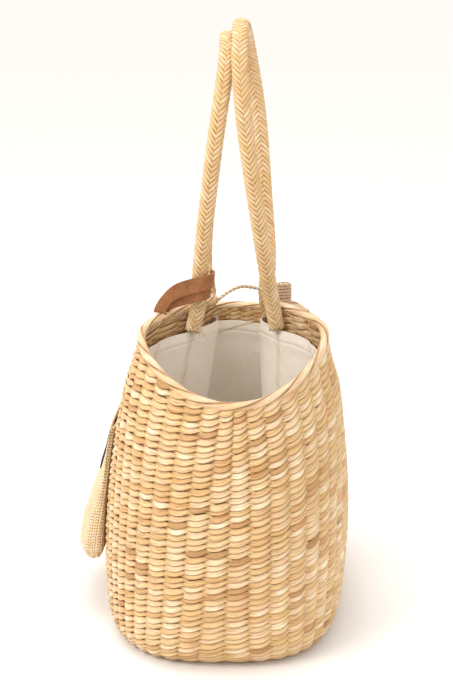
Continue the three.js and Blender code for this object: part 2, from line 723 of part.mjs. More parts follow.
addPiece("basket_body", basketBody(), "straw");
addPiece("rim_border", rimBorder(), "border");
addPiece("lining", lining(), "cotton");
addPiece("handle_left", handle(-1), "straw");
addPiece("handle_right", handle(1), "straw");
addPiece("leather_strap", leatherStrap(), "leather");
addPiece("closure_cord", closureCord(), "twine");
addPiece("toggle", toggle(), "twine").position.copy(toggleMiddle());
addPiece("side_pouch", sidePouch(), "straw");
addPiece("pouch_patch", pouchPatch(), "darkLeather");
addPiece("pouch_tie_near", pouchTie(-1), "straw");
addPiece("pouch_tie_far", pouchTie(1), "straw");

export default bag;
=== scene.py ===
# %% [markdown]
# A straw basket bag
#
# The real bag is a tote of flat straw, twined round upright stakes, with its long walls
# drawn together at mid length. It has braided handles, a cotton lining, a suede strap, a
# cord with a wound toggle, and a small braided pouch on one wall. Here every strand of
# the weave is laid out as its own band, so the gaps and shadows between them are real;
# painted shade on each strand's edges, and where it dives, deepens them.

# %% Load the frame
import math

import bpy
import numpy as np
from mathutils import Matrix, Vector
from mathutils.bvhtree import BVHTree


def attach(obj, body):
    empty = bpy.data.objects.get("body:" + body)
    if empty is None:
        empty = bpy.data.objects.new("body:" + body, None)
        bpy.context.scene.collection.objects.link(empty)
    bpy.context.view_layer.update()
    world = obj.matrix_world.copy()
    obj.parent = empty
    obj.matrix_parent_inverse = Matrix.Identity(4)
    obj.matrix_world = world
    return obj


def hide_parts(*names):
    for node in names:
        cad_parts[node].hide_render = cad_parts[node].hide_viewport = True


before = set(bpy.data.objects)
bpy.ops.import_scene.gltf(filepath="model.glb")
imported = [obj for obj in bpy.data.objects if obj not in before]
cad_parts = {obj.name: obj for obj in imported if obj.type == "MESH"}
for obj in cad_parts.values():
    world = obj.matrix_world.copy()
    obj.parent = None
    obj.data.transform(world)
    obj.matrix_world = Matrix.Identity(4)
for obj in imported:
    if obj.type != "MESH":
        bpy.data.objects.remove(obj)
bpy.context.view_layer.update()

MM = 0.001
random = np.random.default_rng(7)

# %% [markdown]
# The camera comes first, because everything else is judged through it. The photograph
# looks along the bag from its narrow end, from a little above, with a long lens.

# %% Camera
CAMERA_ELEVATION = math.radians(15)
CAMERA_DISTANCE = 1.5
AIM = Vector((0, 0, 0.245))
FOCAL_PIXELS = 1625
FRAME_HEIGHT = 680

camera_data = bpy.data.cameras.new("camera")
camera_data.sensor_fit = "VERTICAL"
camera_data.sensor_height = 24
camera_data.lens = FOCAL_PIXELS / FRAME_HEIGHT * 24
camera_data.clip_start = 0.05
camera = bpy.data.objects.new("camera", camera_data)
bpy.context.scene.collection.objects.link(camera)
camera.location = AIM + CAMERA_DISTANCE * Vector(
    (0, -math.cos(CAMERA_ELEVATION), math.sin(CAMERA_ELEVATION))
)
camera.rotation_euler = (math.pi / 2 - CAMERA_ELEVATION, 0, 0)
bpy.context.scene.camera = camera
bpy.context.scene.view_settings.view_transform = "Standard"
print("the camera stands at", tuple(round(v, 3) for v in camera.location))

# %% [markdown]
# The wall's shape. A basket like this is an oval that swells to its belly and narrows to
# its mouth, where the two long walls are drawn in. The same sizes and tables shape the
# solid in the frame, so the strands lie exactly where the wall is. All sizes here are in
# millimetres, and each piece is turned into metres when its mesh is made.

# %% Sizes and tables of the wall
BASKET_WIDTH, BASKET_LENGTH, BASKET_HEIGHT = 226, 376, 288
MOUTH_WIDTH, MOUTH_LENGTH, WALL = 197, 335, 5
BASE_SHIFT, MOUTH_SHIFT, LOBE_SHIFT = -3, 13, -7.5
PINCH_GAP, PINCH_REACH, FAR_PINCH_REACH = 43, 50, 66
NEAR_DIP, NEAR_DIP_REACH, FAR_DIP, FAR_DIP_REACH = 52, 240, 46.5, 70
BORDER_DIAMETER = 7

SECTION_HEIGHTS = (0, 0.035, 0.1, 0.2, 0.34, 0.5, 0.66, 0.82, 0.92, 1)
WIDTHS = (0.84, 0.93, 0.97, 0.99, 1, 0.993, 0.975, 0.955, 0.905, MOUTH_WIDTH / BASKET_WIDTH)
LENGTHS = (0.86, 0.93, 0.972, 0.988, 1, 0.99, 0.965, 0.935, 0.905, MOUTH_LENGTH / BASKET_LENGTH)
PINCHES = (0, 0, 0, 0, 0.03, 0.12, 0.35, 0.74, 0.95, 1)
SQUARENESS = (3, 2.9, 2.75, 2.6, 2.5, 2.45, 2.4, 2.22, 2.1, 2)
LINING_HEIGHTS = (0, 0.1, 0.25, 0.45, 0.66, 0.85, 1)
LINING_PINCHES = (0, 0.14, 0.45, 0.76, 0.95, 1, 1)


def curve_value(places, values, at):
    """Smooth curve through the values, without overshoot."""
    places, values = np.array(places, float), np.array(values, float)
    step = np.diff(places)
    rise = np.diff(values) / step
    slope = np.zeros(len(places))
    slope[0], slope[-1] = rise[0], rise[-1]
    for i in range(1, len(places) - 1):
        if rise[i - 1] * rise[i] > 0:
            before = 2 * step[i] + step[i - 1]
            after = step[i] + 2 * step[i - 1]
            slope[i] = (before + after) / (before / rise[i - 1] + after / rise[i])
    at = np.clip(at, places[0], places[-1])
    row = np.clip(np.searchsorted(places, at, side="left") - 1, 0, len(places) - 2)
    t = (at - places[row]) / step[row]
    keep = 2 * t**3 - 3 * t**2 + 1
    leave, arrive = t**3 - 2 * t**2 + t, t**3 - t**2
    return (keep * values[row] + (1 - keep) * values[row + 1]
            + step[row] * (leave * slope[row] + arrive * slope[row + 1]))


def smooth_step(share):
    t = np.clip(share, 0, 1)
    return t * t * (3 - 2 * t)


def signed_power(value, power):
    return np.sign(value) * np.abs(value) ** power


def rim_height(y):
    dip = np.where(y < 0, NEAR_DIP, FAR_DIP)
    reach = np.where(y < 0, NEAR_DIP_REACH, FAR_DIP_REACH)
    whole = 1 - np.exp(-((MOUTH_LENGTH / 2 / reach) ** 2))
    return BASKET_HEIGHT - dip * (1 - np.exp(-((y / reach) ** 2))) / whole


def wall_point(turn, height, pinches=(SECTION_HEIGHTS, PINCHES)):
    """Point of the wall's outer face, for a turn about the bag and a share of the height."""
    width = BASKET_WIDTH / 2 * curve_value(SECTION_HEIGHTS, WIDTHS, height)
    length = BASKET_LENGTH / 2 * curve_value(SECTION_HEIGHTS, LENGTHS, height)
    power = 2 / curve_value(SECTION_HEIGHTS, SQUARENESS, height)
    across = width * signed_power(np.cos(turn), power)
    y = length * signed_power(np.sin(turn), power)
    near = np.exp(-((y / np.where(y < 0, PINCH_REACH, FAR_PINCH_REACH)) ** 2))
    gap_share = (PINCH_GAP + 2 * WALL) / MOUTH_WIDTH
    drawn = 1 - (1 - gap_share) * curve_value(*pinches, height) * near
    shift = BASE_SHIFT + (MOUTH_SHIFT - BASE_SHIFT + LOBE_SHIFT * (1 - near)) * height
    return np.stack([across * drawn + shift, y, height * rim_height(y)], axis=-1)


def inset_point(turn, height, inset, pinches=(SECTION_HEIGHTS, PINCHES)):
    """The same point moved inwards, square to the outline."""
    nudge = math.pi / 720
    point = wall_point(turn, height, pinches)
    along = wall_point(turn + nudge, height, pinches) - wall_point(turn - nudge, height, pinches)
    size = np.hypot(along[..., 0], along[..., 1])
    point[..., 0] -= inset * along[..., 1] / size
    point[..., 1] += inset * along[..., 0] / size
    return point


def share_below_rim(turn, drop):
    share = np.ones_like(turn)
    for _ in range(4):
        share = 1 - drop / rim_height(wall_point(turn, share)[..., 1])
    return share


print("the rim stands", float(rim_height(np.array(0.0))), "mm high at mid length")

# %% [markdown]
# A strand of straw is a long flat band. One helper lays any number of them at once: it
# takes the middle line of each strand, the direction of its width, its width and its
# thickness at each point, and a tone. The tone is kept on the mesh and colours the straw,
# and a map along and across each strand carries its fibres. In the wall and the handles
# the tone is also lowered where a strand dives under another, as painted shade.

# %% Helper: strands


def unit(vectors):
    return vectors / np.maximum(np.linalg.norm(vectors, axis=-1, keepdims=True), 1e-9)


def run_along(points, power=1):
    """Length along a line at each of its points. A power of 0.5 spaces a spline's knots."""
    steps = np.linalg.norm(np.diff(points, axis=0), axis=-1) ** power
    return np.concatenate([[0], np.cumsum(steps)])


def new_object(name, mesh):
    piece = bpy.data.objects.new(name, mesh)
    bpy.context.scene.collection.objects.link(piece)
    return piece


def select_only(piece):
    """Operators act on what is selected, so one piece is selected and made active."""
    bpy.ops.object.select_all(action="DESELECT")
    piece.select_set(True)
    bpy.context.view_layer.objects.active = piece


def section_outline(sides, flatness):
    """Rounded flat section: across from -1 to 1 and through from -1 to 1."""
    turns = np.arange(sides) / sides * 2 * math.pi
    return signed_power(np.cos(turns), flatness), signed_power(np.sin(turns), flatness)


def strand_rings(middles, ways, widths, depths, closed, sides, flatness):
    """The section of every strand at each of its points, never below the floor."""
    if closed:
        along = np.roll(middles, -1, axis=1) - np.roll(middles, 1, axis=1)
    else:
        along = np.gradient(middles, axis=1)
    along = unit(along)
    across = unit(ways - (ways * along).sum(-1, keepdims=True) * along)
    through = np.cross(along, across)
    a, b = section_outline(sides, flatness)
    rings = (
        middles[:, :, None]
        + across[:, :, None] * (a[:, None] * widths[:, :, None, None] / 2)
        + through[:, :, None] * (b[:, None] * depths[:, :, None, None] / 2)
    )
    rings[..., 2] = np.maximum(rings[..., 2], 0)
    return rings


def strand_faces(middles, closed, sides):
    """Corners of the faces round every strand, where each face starts, how many corners it
    has, and its place on the fibre map. Each strand has a stretch of the map of its own."""
    count, points = middles.shape[:2]
    spans = points if closed else points - 1
    s, p, k = np.meshgrid(np.arange(count), np.arange(spans), np.arange(sides), indexing="ij")
    index = lambda pp, kk: (s * points + pp % points) * sides + kk % sides
    quads = np.stack([index(p, k), index(p, k + 1), index(p + 1, k + 1), index(p + 1, k)], axis=-1)
    run = np.concatenate([np.zeros((count, 1)), np.cumsum(
        np.linalg.norm(np.diff(middles, axis=1), axis=-1), axis=1)], axis=1)
    step_run = np.concatenate([run, run[:, -1:] + run[:, 1:2]], axis=1)
    u0, u1 = step_run[s, p], step_run[s, p + 1]
    v0, v1 = k / sides, (k + 1) / sides
    shift = random.integers(0, 60, count)[s]
    uv = np.stack([np.stack([u0, v0 + shift], -1), np.stack([u0, v1 + shift], -1),
                   np.stack([u1, v1 + shift], -1), np.stack([u1, v0 + shift], -1)], axis=-2)
    loops = quads.reshape(-1)
    starts = np.arange(len(loops) // 4) * 4
    totals = np.full(len(starts), 4)
    uvs = uv.reshape(-1, 2)
    if not closed:
        first = np.arange(count)[:, None] * points * sides + np.arange(sides)[::-1]
        last = (np.arange(count)[:, None] * points + points - 1) * sides + np.arange(sides)
        caps = np.stack([first, last], axis=1).reshape(-1, sides)
        starts = np.concatenate([starts, len(loops) + np.arange(len(caps)) * sides])
        totals = np.concatenate([totals, np.full(len(caps), sides)])
        loops = np.concatenate([loops, caps.reshape(-1)])
        uvs = np.concatenate([uvs, np.zeros((caps.size, 2))])
    return loops, starts, totals, uvs


def lay_strands(name, middles, ways, widths, depths, tones, closed=False, sides=6, flatness=0.8):
    """Bands through middles (strand, point, xyz), in millimetres, as one mesh."""
    rings = strand_rings(middles, ways, widths, depths, closed, sides, flatness)
    loops, starts, totals, uvs = strand_faces(middles, closed, sides)
    mesh = bpy.data.meshes.new(name)
    mesh.vertices.add(rings.size // 3)
    mesh.vertices.foreach_set("co", (rings.reshape(-1) * MM).astype(np.float32))
    mesh.loops.add(len(loops))
    mesh.loops.foreach_set("vertex_index", loops.astype(np.int32))
    mesh.polygons.add(len(starts))
    mesh.polygons.foreach_set("loop_start", starts.astype(np.int32))
    mesh.polygons.foreach_set("loop_total", totals.astype(np.int32))
    mesh.update(calc_edges=True)
    layer = mesh.uv_layers.new(name="fibre")
    layer.uv.foreach_set("vector", (uvs * [MM, 1]).reshape(-1).astype(np.float32))
    # The tone holds each strand's own colour and, for wefts and braids, painted shade where they dive.
    tone_and_shade = mesh.attributes.new("tone_and_shade", "FLOAT", "POINT")
    tone_and_shade.data.foreach_set("value", np.repeat(tones.reshape(-1), sides).astype(np.float32))
    mesh.polygons.foreach_set("use_smooth", np.ones(len(starts), bool))
    mesh.validate()
    piece = new_object(name, mesh)
    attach(piece, "root")
    return piece


def triangles(piece):
    return sum(len(face.vertices) - 2 for face in piece.data.polygons)


def smooth_noise(size, knots):
    """Slowly changing random numbers from -1 to 1."""
    values = random.random(knots + 1) * 2 - 1
    place = np.linspace(0, knots, size, endpoint=False)
    low = place.astype(int)
    t = smooth_step(place - low)
    return values[low] * (1 - t) + values[low + 1] * t


print("the strand helper is ready")

# %% [markdown]
# The twined wall. Two wefts go round together, one outside each stake and one inside, and
# cross between the stakes. So each row is a chain of short floats, and each float rises to
# the right, sags a little in its middle and dives behind the next one. Rows follow the
# rim at the top and lie level at the base. A bump pattern on a plain wall would be quicker,
# but its outline would stay smooth and no float would throw a shadow on the next.

# %% Twined wall: sizes
STAKES, ROWS = 54, 46
SAMPLES = 6  # points of a weft from one stake to the next
WEFT_WIDTH, WEFT_DEPTH = 6.3, 1.4
WEFT_SWING = 1.6  # how far a weft goes out and in round the stakes
WEFT_SLANT, WEFT_SAG = 1.6, 0.35  # the rise along a float, and the droop of its middle
WEFT_TILT = 0.34  # the lean of a float's upper edge into the wall
WEFT_OVERLAP = 0.45  # how far a float's high end stands out
ROW_WANDER, FLOAT_LIFTS, FLOAT_WIDTHS = 0.5, 0.34, 0.1  # chance differences
EDGE_DROP = 6.2  # room for the border above the top row
BELLY = 0.45  # share of the height at which the stakes stand at even steps

fine_turn = np.linspace(0, 2 * math.pi, 1441)
belly_run = run_along(wall_point(fine_turn, np.full_like(fine_turn, BELLY)))


def stake_turn(stake):
    """Turn about the bag of a place counted in stakes, at even steps round the belly."""
    share = (stake / STAKES) % 1
    return np.interp(share * belly_run[-1], belly_run, fine_turn)


def row_height(row):
    """Share of the height of a row, at even steps up the wall."""
    heights = np.linspace(0, 1, 201)
    side = wall_point(np.full(201, -math.pi / 2), heights)
    run = run_along(side)
    top = run[-1] - EDGE_DROP
    return np.interp((row + 0.6) / ROWS * top, run, heights)


def float_number(stake, side):
    """The float of its weft that each place belongs to, counted round the bag."""
    return np.round((stake + (side < 0)) / 2).astype(int) % (STAKES // 2)


print("the belly is", round(float(belly_run[-1])), "mm round")

# %% Twined wall: rows


def weft_rows(rows, name):
    """Both wefts of each row: side 1 goes outside the even stakes, side -1 the odd ones."""
    stake = np.arange(STAKES * SAMPLES) / SAMPLES
    turn = stake_turn(stake)
    middles, ways, widths, depths, tones = [], [], [], [], []
    for row in rows:
        share = row_height(row)
        wander = smooth_noise(len(stake), 18) * ROW_WANDER
        for side in (1, -1):
            swing = side * np.cos(math.pi * stake)
            lift = side * WEFT_SLANT * np.sin(math.pi * stake)
            lift = lift - WEFT_SAG * np.cos(2 * math.pi * stake) + wander
            mine = float_number(stake, side)
            float_lift = random.normal(0, FLOAT_LIFTS, STAKES // 2)[mine]
            float_width = 1 + random.normal(0, FLOAT_WIDTHS, STAKES // 2)[mine]
            y = wall_point(turn, np.full_like(turn, share))[:, 1]
            height = share + (lift + float_lift) / rim_height(y)
            rise = side * np.sin(math.pi * stake)
            inset = WALL / 2 - WEFT_SWING * signed_power(swing, 0.75) - WEFT_OVERLAP * rise
            middle = inset_point(turn, height, inset)
            above = inset_point(turn, height + 0.01, inset)
            middles.append(middle)
            deeper = inset_point(turn, height, inset + 3)
            ways.append(unit(above - middle) + WEFT_TILT * unit(deeper - middle))
            pinch_in = 1 - (0.3 + 0.18 * rise) * (1 - np.abs(swing)) ** 1.3
            row_spread = rim_height(y) / rim_height(-BASKET_LENGTH / 2)
            widths.append(WEFT_WIDTH * pinch_in * float_width * row_spread)
            depths.append(np.full(len(stake), WEFT_DEPTH))
            # Painted shade: each float's tone is darkened towards its ends, where it dives behind its
            # neighbour.
            dive_shade = 0.45 + 0.55 * np.abs(swing) ** 0.5
            tones.append(random.random(STAKES // 2)[mine] * dive_shade)
    return lay_strands(name, np.array(middles), np.array(ways), np.array(widths),
                       np.array(depths), np.array(tones), closed=True, flatness=0.65)


third = ROWS // 3
wall_low = weft_rows(range(0, third), "wall_weave_low")
wall_middle = weft_rows(range(third, 2 * third), "wall_weave_middle")
wall_high = weft_rows(range(2 * third, ROWS), "wall_weave_high")
print("wall rows:", ROWS, "triangles:", [triangles(p) for p in (wall_low, wall_middle, wall_high)])

# %% [markdown]
# The base is twined the same way, in ovals that close in to a spine along its middle.
# It is seen only from below, so its straws have fewer points than those of the wall.

# %% Twined base
BASE_ROWS, BASE_SAMPLES = 16, 4
BASE_WIDTH, BASE_DEPTH = 6.6, 2.2
BASE_SLANT, BASE_SWING = 0.9, 1.3


def base_ovals():
    """The wall's outline at the floor, drawn smaller row by row down to the spine."""
    stake = np.arange(STAKES * BASE_SAMPLES) / BASE_SAMPLES
    turn = stake_turn(stake)
    edge = wall_point(turn, np.full_like(turn, 0.0))
    half = np.ptp(edge, axis=0) / 2
    centre = np.array([BASE_SHIFT, 0, 0])
    middles, tones = [], []
    for row in range(BASE_ROWS):
        for side in (1, -1):
            swing = side * np.cos(math.pi * stake)
            inset = (row + 0.35) * half[0] / (BASE_ROWS + 0.3)
            inset = inset + side * BASE_SLANT * np.sin(math.pi * stake)
            middle = edge.copy()
            middle[:, 0] = centre[0] + (edge[:, 0] - centre[0]) * (1 - inset / half[0])
            middle[:, 1] = edge[:, 1] * (1 - inset / half[1])
            middle[:, 2] = WALL / 2 - BASE_SWING * swing
            middles.append(middle)
            tones.append(random.random(STAKES // 2)[float_number(stake, side)])
    middles = np.array(middles)
    ways = centre - middles
    ways[..., 2] = 0
    shape = middles.shape[:2]
    return lay_strands("base_weave", middles, ways, np.full(shape, BASE_WIDTH),
                       np.full(shape, BASE_DEPTH), np.array(tones), closed=True)


base_weave = base_ovals()
print("base rows:", BASE_ROWS, "triangles:", triangles(base_weave))

# %% [markdown]
# The rolled border. The stakes' ends are bent over and covered with long flat straws that
# wind slowly round the rim. A plain tube would look like cord from near by, so a thick
# core carries three wide bands that go round it nine times. Inside, just under the border,
# the cut ends of the stakes show as short slanting stitches.

# %% Rolled border
BORDER_STRAWS, BORDER_LAYS, BORDER_SAMPLES = 3, 9, 480
BORDER_CORE = 5.2  # thickness of the bundle of bent stakes
BORDER_ARM = 2.45  # from the middle of the bundle to the middle of a straw
BORDER_STRAW_WIDTH, BORDER_STRAW_DEPTH = 5.9, 1.9


def border_middle(turn):
    return inset_point(turn, share_below_rim(turn, BORDER_DIAMETER / 2), WALL / 2)


def even_turns(count):
    """Turns at even steps along the border."""
    run = run_along(border_middle(fine_turn))
    return np.interp(np.arange(count) / count * run[-1], run, fine_turn)


def rolled_border():
    middle = border_middle(even_turns(BORDER_SAMPLES))
    along = unit(np.roll(middle, -1, axis=0) - np.roll(middle, 1, axis=0))
    out = unit(np.cross(along, [0, 0, 1]))
    rise = np.cross(out, along)
    middles, ways = [middle], [out]
    widths, tones = [np.full(BORDER_SAMPLES, BORDER_CORE)], [np.full(BORDER_SAMPLES, 0.5)]
    share = np.arange(BORDER_SAMPLES) / BORDER_SAMPLES
    for straw_number in range(BORDER_STRAWS):
        angle = 2 * math.pi * (BORDER_LAYS * share + straw_number / BORDER_STRAWS)
        arm = out * np.cos(angle)[:, None] + rise * np.sin(angle)[:, None]
        middles.append(middle + BORDER_ARM * arm)
        ways.append(np.cross(arm, along))
        widths.append(BORDER_STRAW_WIDTH + 0.5 * smooth_noise(BORDER_SAMPLES, 40))
        tones.append(np.clip(0.68 + 0.3 * smooth_noise(BORDER_SAMPLES, 26), 0, 1))
    depths = np.full((len(middles), BORDER_SAMPLES), BORDER_STRAW_DEPTH)
    depths[0] = BORDER_CORE
    return lay_strands("border_roll", np.array(middles), np.array(ways), np.array(widths), depths,
                       np.array(tones), closed=True, sides=8)


border_roll = rolled_border()
print("border:", triangles(border_roll), "triangles")

# %% Cut ends of the stakes
STITCHES, STITCH_POINTS = 230, 6
STITCH_LENGTH, STITCH_WIDTH, STITCH_DEPTH = 7.0, 2.2, 1.2


def stake_ends():
    """Stitches round the near half of the rim: dense on the left wall, sparse on the right."""
    turns = even_turns(STITCHES) + random.normal(0, 0.004, STITCHES)
    rim = wall_point(turns, np.ones(STITCHES))
    kept = (rim[:, 1] < 50) & ((rim[:, 0] < 0) | (random.random(STITCHES) < 0.35))
    turns = turns[kept]
    lean = random.normal(1.6, 0.6, len(turns))
    middles = []
    for down in np.arange(STITCH_POINTS) / (STITCH_POINTS - 1):
        turn = turns + lean * down * 0.02
        drop = BORDER_DIAMETER * 0.4 + STITCH_LENGTH * down
        inset = WALL + 0.9 - 1.3 * (2 * down - 1) ** 2
        middles.append(inset_point(turn, share_below_rim(turn, drop), inset))
    middles = np.stack(middles, axis=1)
    along = np.gradient(middles, axis=1)
    inward = inset_point(turns, share_below_rim(turns, 9.0), 10)[:, None] - middles
    same = np.zeros(STITCH_POINTS)
    widths = STITCH_WIDTH + random.normal(0, 0.5, (len(turns), 1)) + same
    widths = np.clip(widths, 1.3, 3.4)
    tones = random.random((len(turns), 1)) + same
    return lay_strands("stake_ends", middles, np.cross(along, inward), widths,
                       np.full(widths.shape, STITCH_DEPTH), tones)


stake_stitches = stake_ends()
print("stake ends:", triangles(stake_stitches), "triangles")

# %% [markdown]
# The handles are tubular braids. Half the strands wind one way and half the other, and
# each goes over five and under five, so the front shows one long herringbone with small
# dark holes down its ridge. The straws are laid as bands again, because the ridge and its
# holes come from how they cross, and the braid then turns with the handle's bend.

# %% Braided handles: sizes and line
HANDLE_WIDTH, HANDLE_DEPTH = 15, 12
LEFT_LINE = ((-30.4, -38, 263.8), (-25.3, -38, 287), (-24.1, -41.6, 310.1), (-18, -51.5, 369.3),
             (-9.1, -56, 441.3), (-1.6, -43.5, 491.4), (1, -24, 513.3), (1, 0, 521),
             (1, 24, 513.1), (-0.4, 43.5, 490.7), (-8, 56, 439.3), (-17.5, 51.5, 365.5),
             (-20.5, 41.6, 304.9), (-16.9, 38, 281.1), (-21.7, 38, 257.4))
RIGHT_LINE = ((45.5, -33, 264.6), (40.7, -33, 288.7), (36.7, -38.6, 312.7), (26.8, -54, 374.2),
              (15.9, -61, 449.1), (11.2, -47.4, 501.2), (11.8, -26.2, 524), (13, 0, 532),
              (15.9, 26.2, 523.8), (20.7, 47.4, 500.7), (29.5, 61, 447.6), (35.7, 54, 371.4),
              (39.3, 38.6, 308.8), (36.9, 33, 284.3), (39.7, 33, 259.8))
BRAID_EACH_WAY = 10  # straws that wind one way
BRAID_LAY = 47  # length in which a straw goes once round
BRAID_STEP = 3.2  # length from point to point
BRAID_STRAW_WIDTH, BRAID_STRAW_DEPTH = 3.5, 0.95
BRAID_INSET, BRAID_LIFT = 1.05, 0.62  # from the surface in, and how far a straw goes over


def smooth_line(points, count):
    """Even points on the smooth curve through points, as a draughtsman's spline runs."""
    points = np.array(points, float)
    points = np.concatenate([[2 * points[0] - points[1]], points, [2 * points[-1] - points[-2]]])
    knots = run_along(points, 0.5)
    dense = []
    for i in range(1, len(points) - 2):
        t = np.linspace(knots[i], knots[i + 1], 40, endpoint=False)[:, None]
        k, p = knots[i - 1:i + 3], points[i - 1:i + 3]
        a = [((k[j + 1] - t) * p[j] + (t - k[j]) * p[j + 1]) / (k[j + 1] - k[j]) for j in range(3)]
        b = [((k[j + 2] - t) * a[j] + (t - k[j]) * a[j + 1]) / (k[j + 2] - k[j]) for j in range(2)]
        dense.append(((k[2] - t) * b[0] + (t - k[1]) * b[1]) / (k[2] - k[1]))
    dense = np.concatenate(dense + [points[-2:-1]])
    run = run_along(dense)
    even = np.linspace(0, run[-1], count)
    return np.stack([np.interp(even, run, dense[:, i]) for i in range(3)], axis=1), run[-1]


print("left handle:", round(float(smooth_line(LEFT_LINE, 2)[1])), "mm long")

# %% Braided handles


def braid(name, line_points):
    """A tubular braid round a line, its straws going over and under in turn."""
    line, length = smooth_line(line_points, 1600)
    samples = int(length / BRAID_STEP)
    share = np.linspace(0, 1, samples)
    place = share * (len(line) - 1)
    low = np.clip(place.astype(int), 0, len(line) - 2)
    middle = line[low] + (line[low + 1] - line[low]) * (place - low)[:, None]
    along = unit(np.gradient(middle, axis=0))
    side = unit(np.array([1.0, 0, 0]) - along * along[:, :1])
    face = np.cross(along, side)
    middles, ways, widths, tones = [], [], [], []
    for way in (1, -1):
        for strand in range(BRAID_EACH_WAY):
            wound = share * length / BRAID_LAY + (strand + 0.25) / BRAID_EACH_WAY
            angle = way * 2 * math.pi * wound
            over = -way * np.sin(2 * angle)
            lift = np.tanh(3.2 * over) * BRAID_LIFT - BRAID_INSET
            arm = side * np.cos(angle)[:, None] * (HANDLE_WIDTH / 2 + lift)[:, None]
            arm = arm + face * np.sin(angle)[:, None] * (HANDLE_DEPTH / 2 + lift)[:, None]
            middles.append(middle + arm)
            out = side * (np.cos(angle) / HANDLE_WIDTH)[:, None]
            out = unit(out + face * (np.sin(angle) / HANDLE_DEPTH)[:, None])
            ways.append(np.cross(out, np.gradient(middle + arm, axis=0)))
            widths.append(BRAID_STRAW_WIDTH - 0.8 * (1 - np.abs(over)) ** 2)
            straw_tone = np.clip(0.55 + 0.4 * smooth_noise(samples, 22), 0, 1)
            # Painted shade: a straw's tone is darkened where it passes under the others.
            tones.append(straw_tone * (0.62 + 0.38 * np.tanh(3 * over)))
    shape = (2 * BRAID_EACH_WAY, samples)
    return lay_strands(name, np.array(middles), np.array(ways), np.array(widths),
                       np.full(shape, BRAID_STRAW_DEPTH), np.array(tones))


braid_left = braid("braid_left", LEFT_LINE)
braid_right = braid("braid_right", RIGHT_LINE)
print("braids:", triangles(braid_left), triangles(braid_right), "triangles")

# %% [markdown]
# Where the left handle is sewn in, the ends of a few straws stay loose and curl a little.
# Each is a short band that narrows to its tip, from a place and to a place of its own.

# %% Frayed ends
FRAYS, FRAY_POINTS, FRAY_WIDTH = 9, 5, 1.3


def frayed_ends():
    """Loose straw ends at the foot of the left handle's near leg."""
    step = np.linspace(0, 1, FRAY_POINTS)
    bow = np.outer(step * (1 - step), [2, -2, 1])
    middles = []
    for _ in range(FRAYS):
        start = np.array([-25 + random.normal(0, 1.2), -44, 268 + random.normal(0, 1.5)])
        end = np.array([-20 + random.normal(0, 2.2), -45 - random.random() * 2,
                        259.5 + random.normal(0, 1.6)])
        middles.append(start + (end - start) * step[:, None] + bow)
    middles = np.array(middles)
    widths = FRAY_WIDTH * (1 - 0.75 * step) * np.ones((FRAYS, 1))
    return lay_strands("frayed_ends", middles, np.full(middles.shape, (0, -1.0, 0.3)), widths,
                       widths * 0.5, np.full(widths.shape, 0.97), sides=5)


frays = frayed_ends()
print("frayed ends:", triangles(frays), "triangles")

# %% [markdown]
# The lining is a cotton bag sewn in below the rim. It hangs straighter than the wall at
# the pinch, so it folds there: each fold is a ridge that starts at the hem and fades on
# its way down. A sewn line runs below the hem.

# %% Lining
LINING_GAP = 1.2
LINING_THICKNESS = 1.1
LINING_TURNS = 400
LINING_LEVELS = 112
HEM_DROP, HEM_END_RISE, HEM_PINCH_RISE = 24, 0.2, 0.04

# Folds: side of the bag, place along it at the hem and at the floor in mm, width, depth
LINING_FOLDS = (
    (-1, -54, -66, 5, 2.8),
    (-1, -84, -70, 9, 3.4),
    (-1, -112, -98, 12, 2.6),
    (-1, -30, -40, 6, 3.2),
    (-1, 32, 44, 7, 3.0),
    (1, -52, -92, 5, 3.4),
    (1, -66, -58, 6, 3.6),
    (1, -92, -100, 8, 3.6),
    (1, -120, -110, 12, 2.8),
    (1, -28, -20, 5, 3.0),
    (1, 30, 40, 7, 3.0),
    (1, 70, 90, 12, 2.4),
    (-1, 74, 88, 11, 2.6),
)


def hem_drop(turn):
    ends = np.abs(np.sin(turn)) ** 12
    pinch = np.abs(np.cos(turn)) ** 20
    return HEM_DROP * (1 - HEM_END_RISE * ends - HEM_PINCH_RISE * pinch)


def lining_inset(turn, share, drop):
    """How far the cotton stands in from the wall's outer face."""
    point = wall_point(turn, share, (LINING_HEIGHTS, LINING_PINCHES))
    side = np.sign(np.cos(turn))
    inset = np.full_like(turn, WALL + LINING_GAP)
    for fold_side, top, foot, width, depth in LINING_FOLDS:
        place = foot + (top - foot) * share
        away = np.abs(point[:, 1] - place) / width
        fade = smooth_step(share * 2.2 - 0.3)
        inset += depth * fade * np.exp(-away**1.35) * (side == fold_side)
    ripple = 0.7 * np.sin(point[:, 1] * 0.21 + 9 * share) * np.sin(point[:, 1] * 0.083 - 5 * share)
    creases = 0.6 * np.sin(share * 46 + point[:, 1] * 0.09) * np.exp(-(((point[:, 1] + 62) / 24) ** 2))
    puff = 0.8 * smooth_step(drop / 9) * (1 - smooth_step((drop - 9) / 14))
    stitch = -0.7 * np.exp(-(((drop - 10.5) / 0.9) ** 2))
    return inset + (ripple + creases) * smooth_step(drop / 12) + puff + stitch + 0.6


def crease_shade(turn, share, drop):
    """Painted shade on the cloth: beside each fold on its shaded side, and along the sewn line of the far
    wall.
    """
    point = wall_point(turn, share, (LINING_HEIGHTS, LINING_PINCHES))
    side = np.sign(np.cos(turn))
    shade = np.zeros_like(turn)
    for fold_side, top, foot, width, depth in LINING_FOLDS:
        place = foot + (top - foot) * share + 0.55 * width
        fade = smooth_step(share * 2.2 - 0.3)
        shade += 0.8 * fade * np.exp(-(((point[:, 1] - place) / 1.3) ** 2)) * (side == fold_side)
    seam_drop = 10 - 0.33 * point[:, 0]
    shade += 1.3 * np.exp(-(((drop - seam_drop) / 0.8) ** 2)) * (point[:, 1] > 60)
    return shade


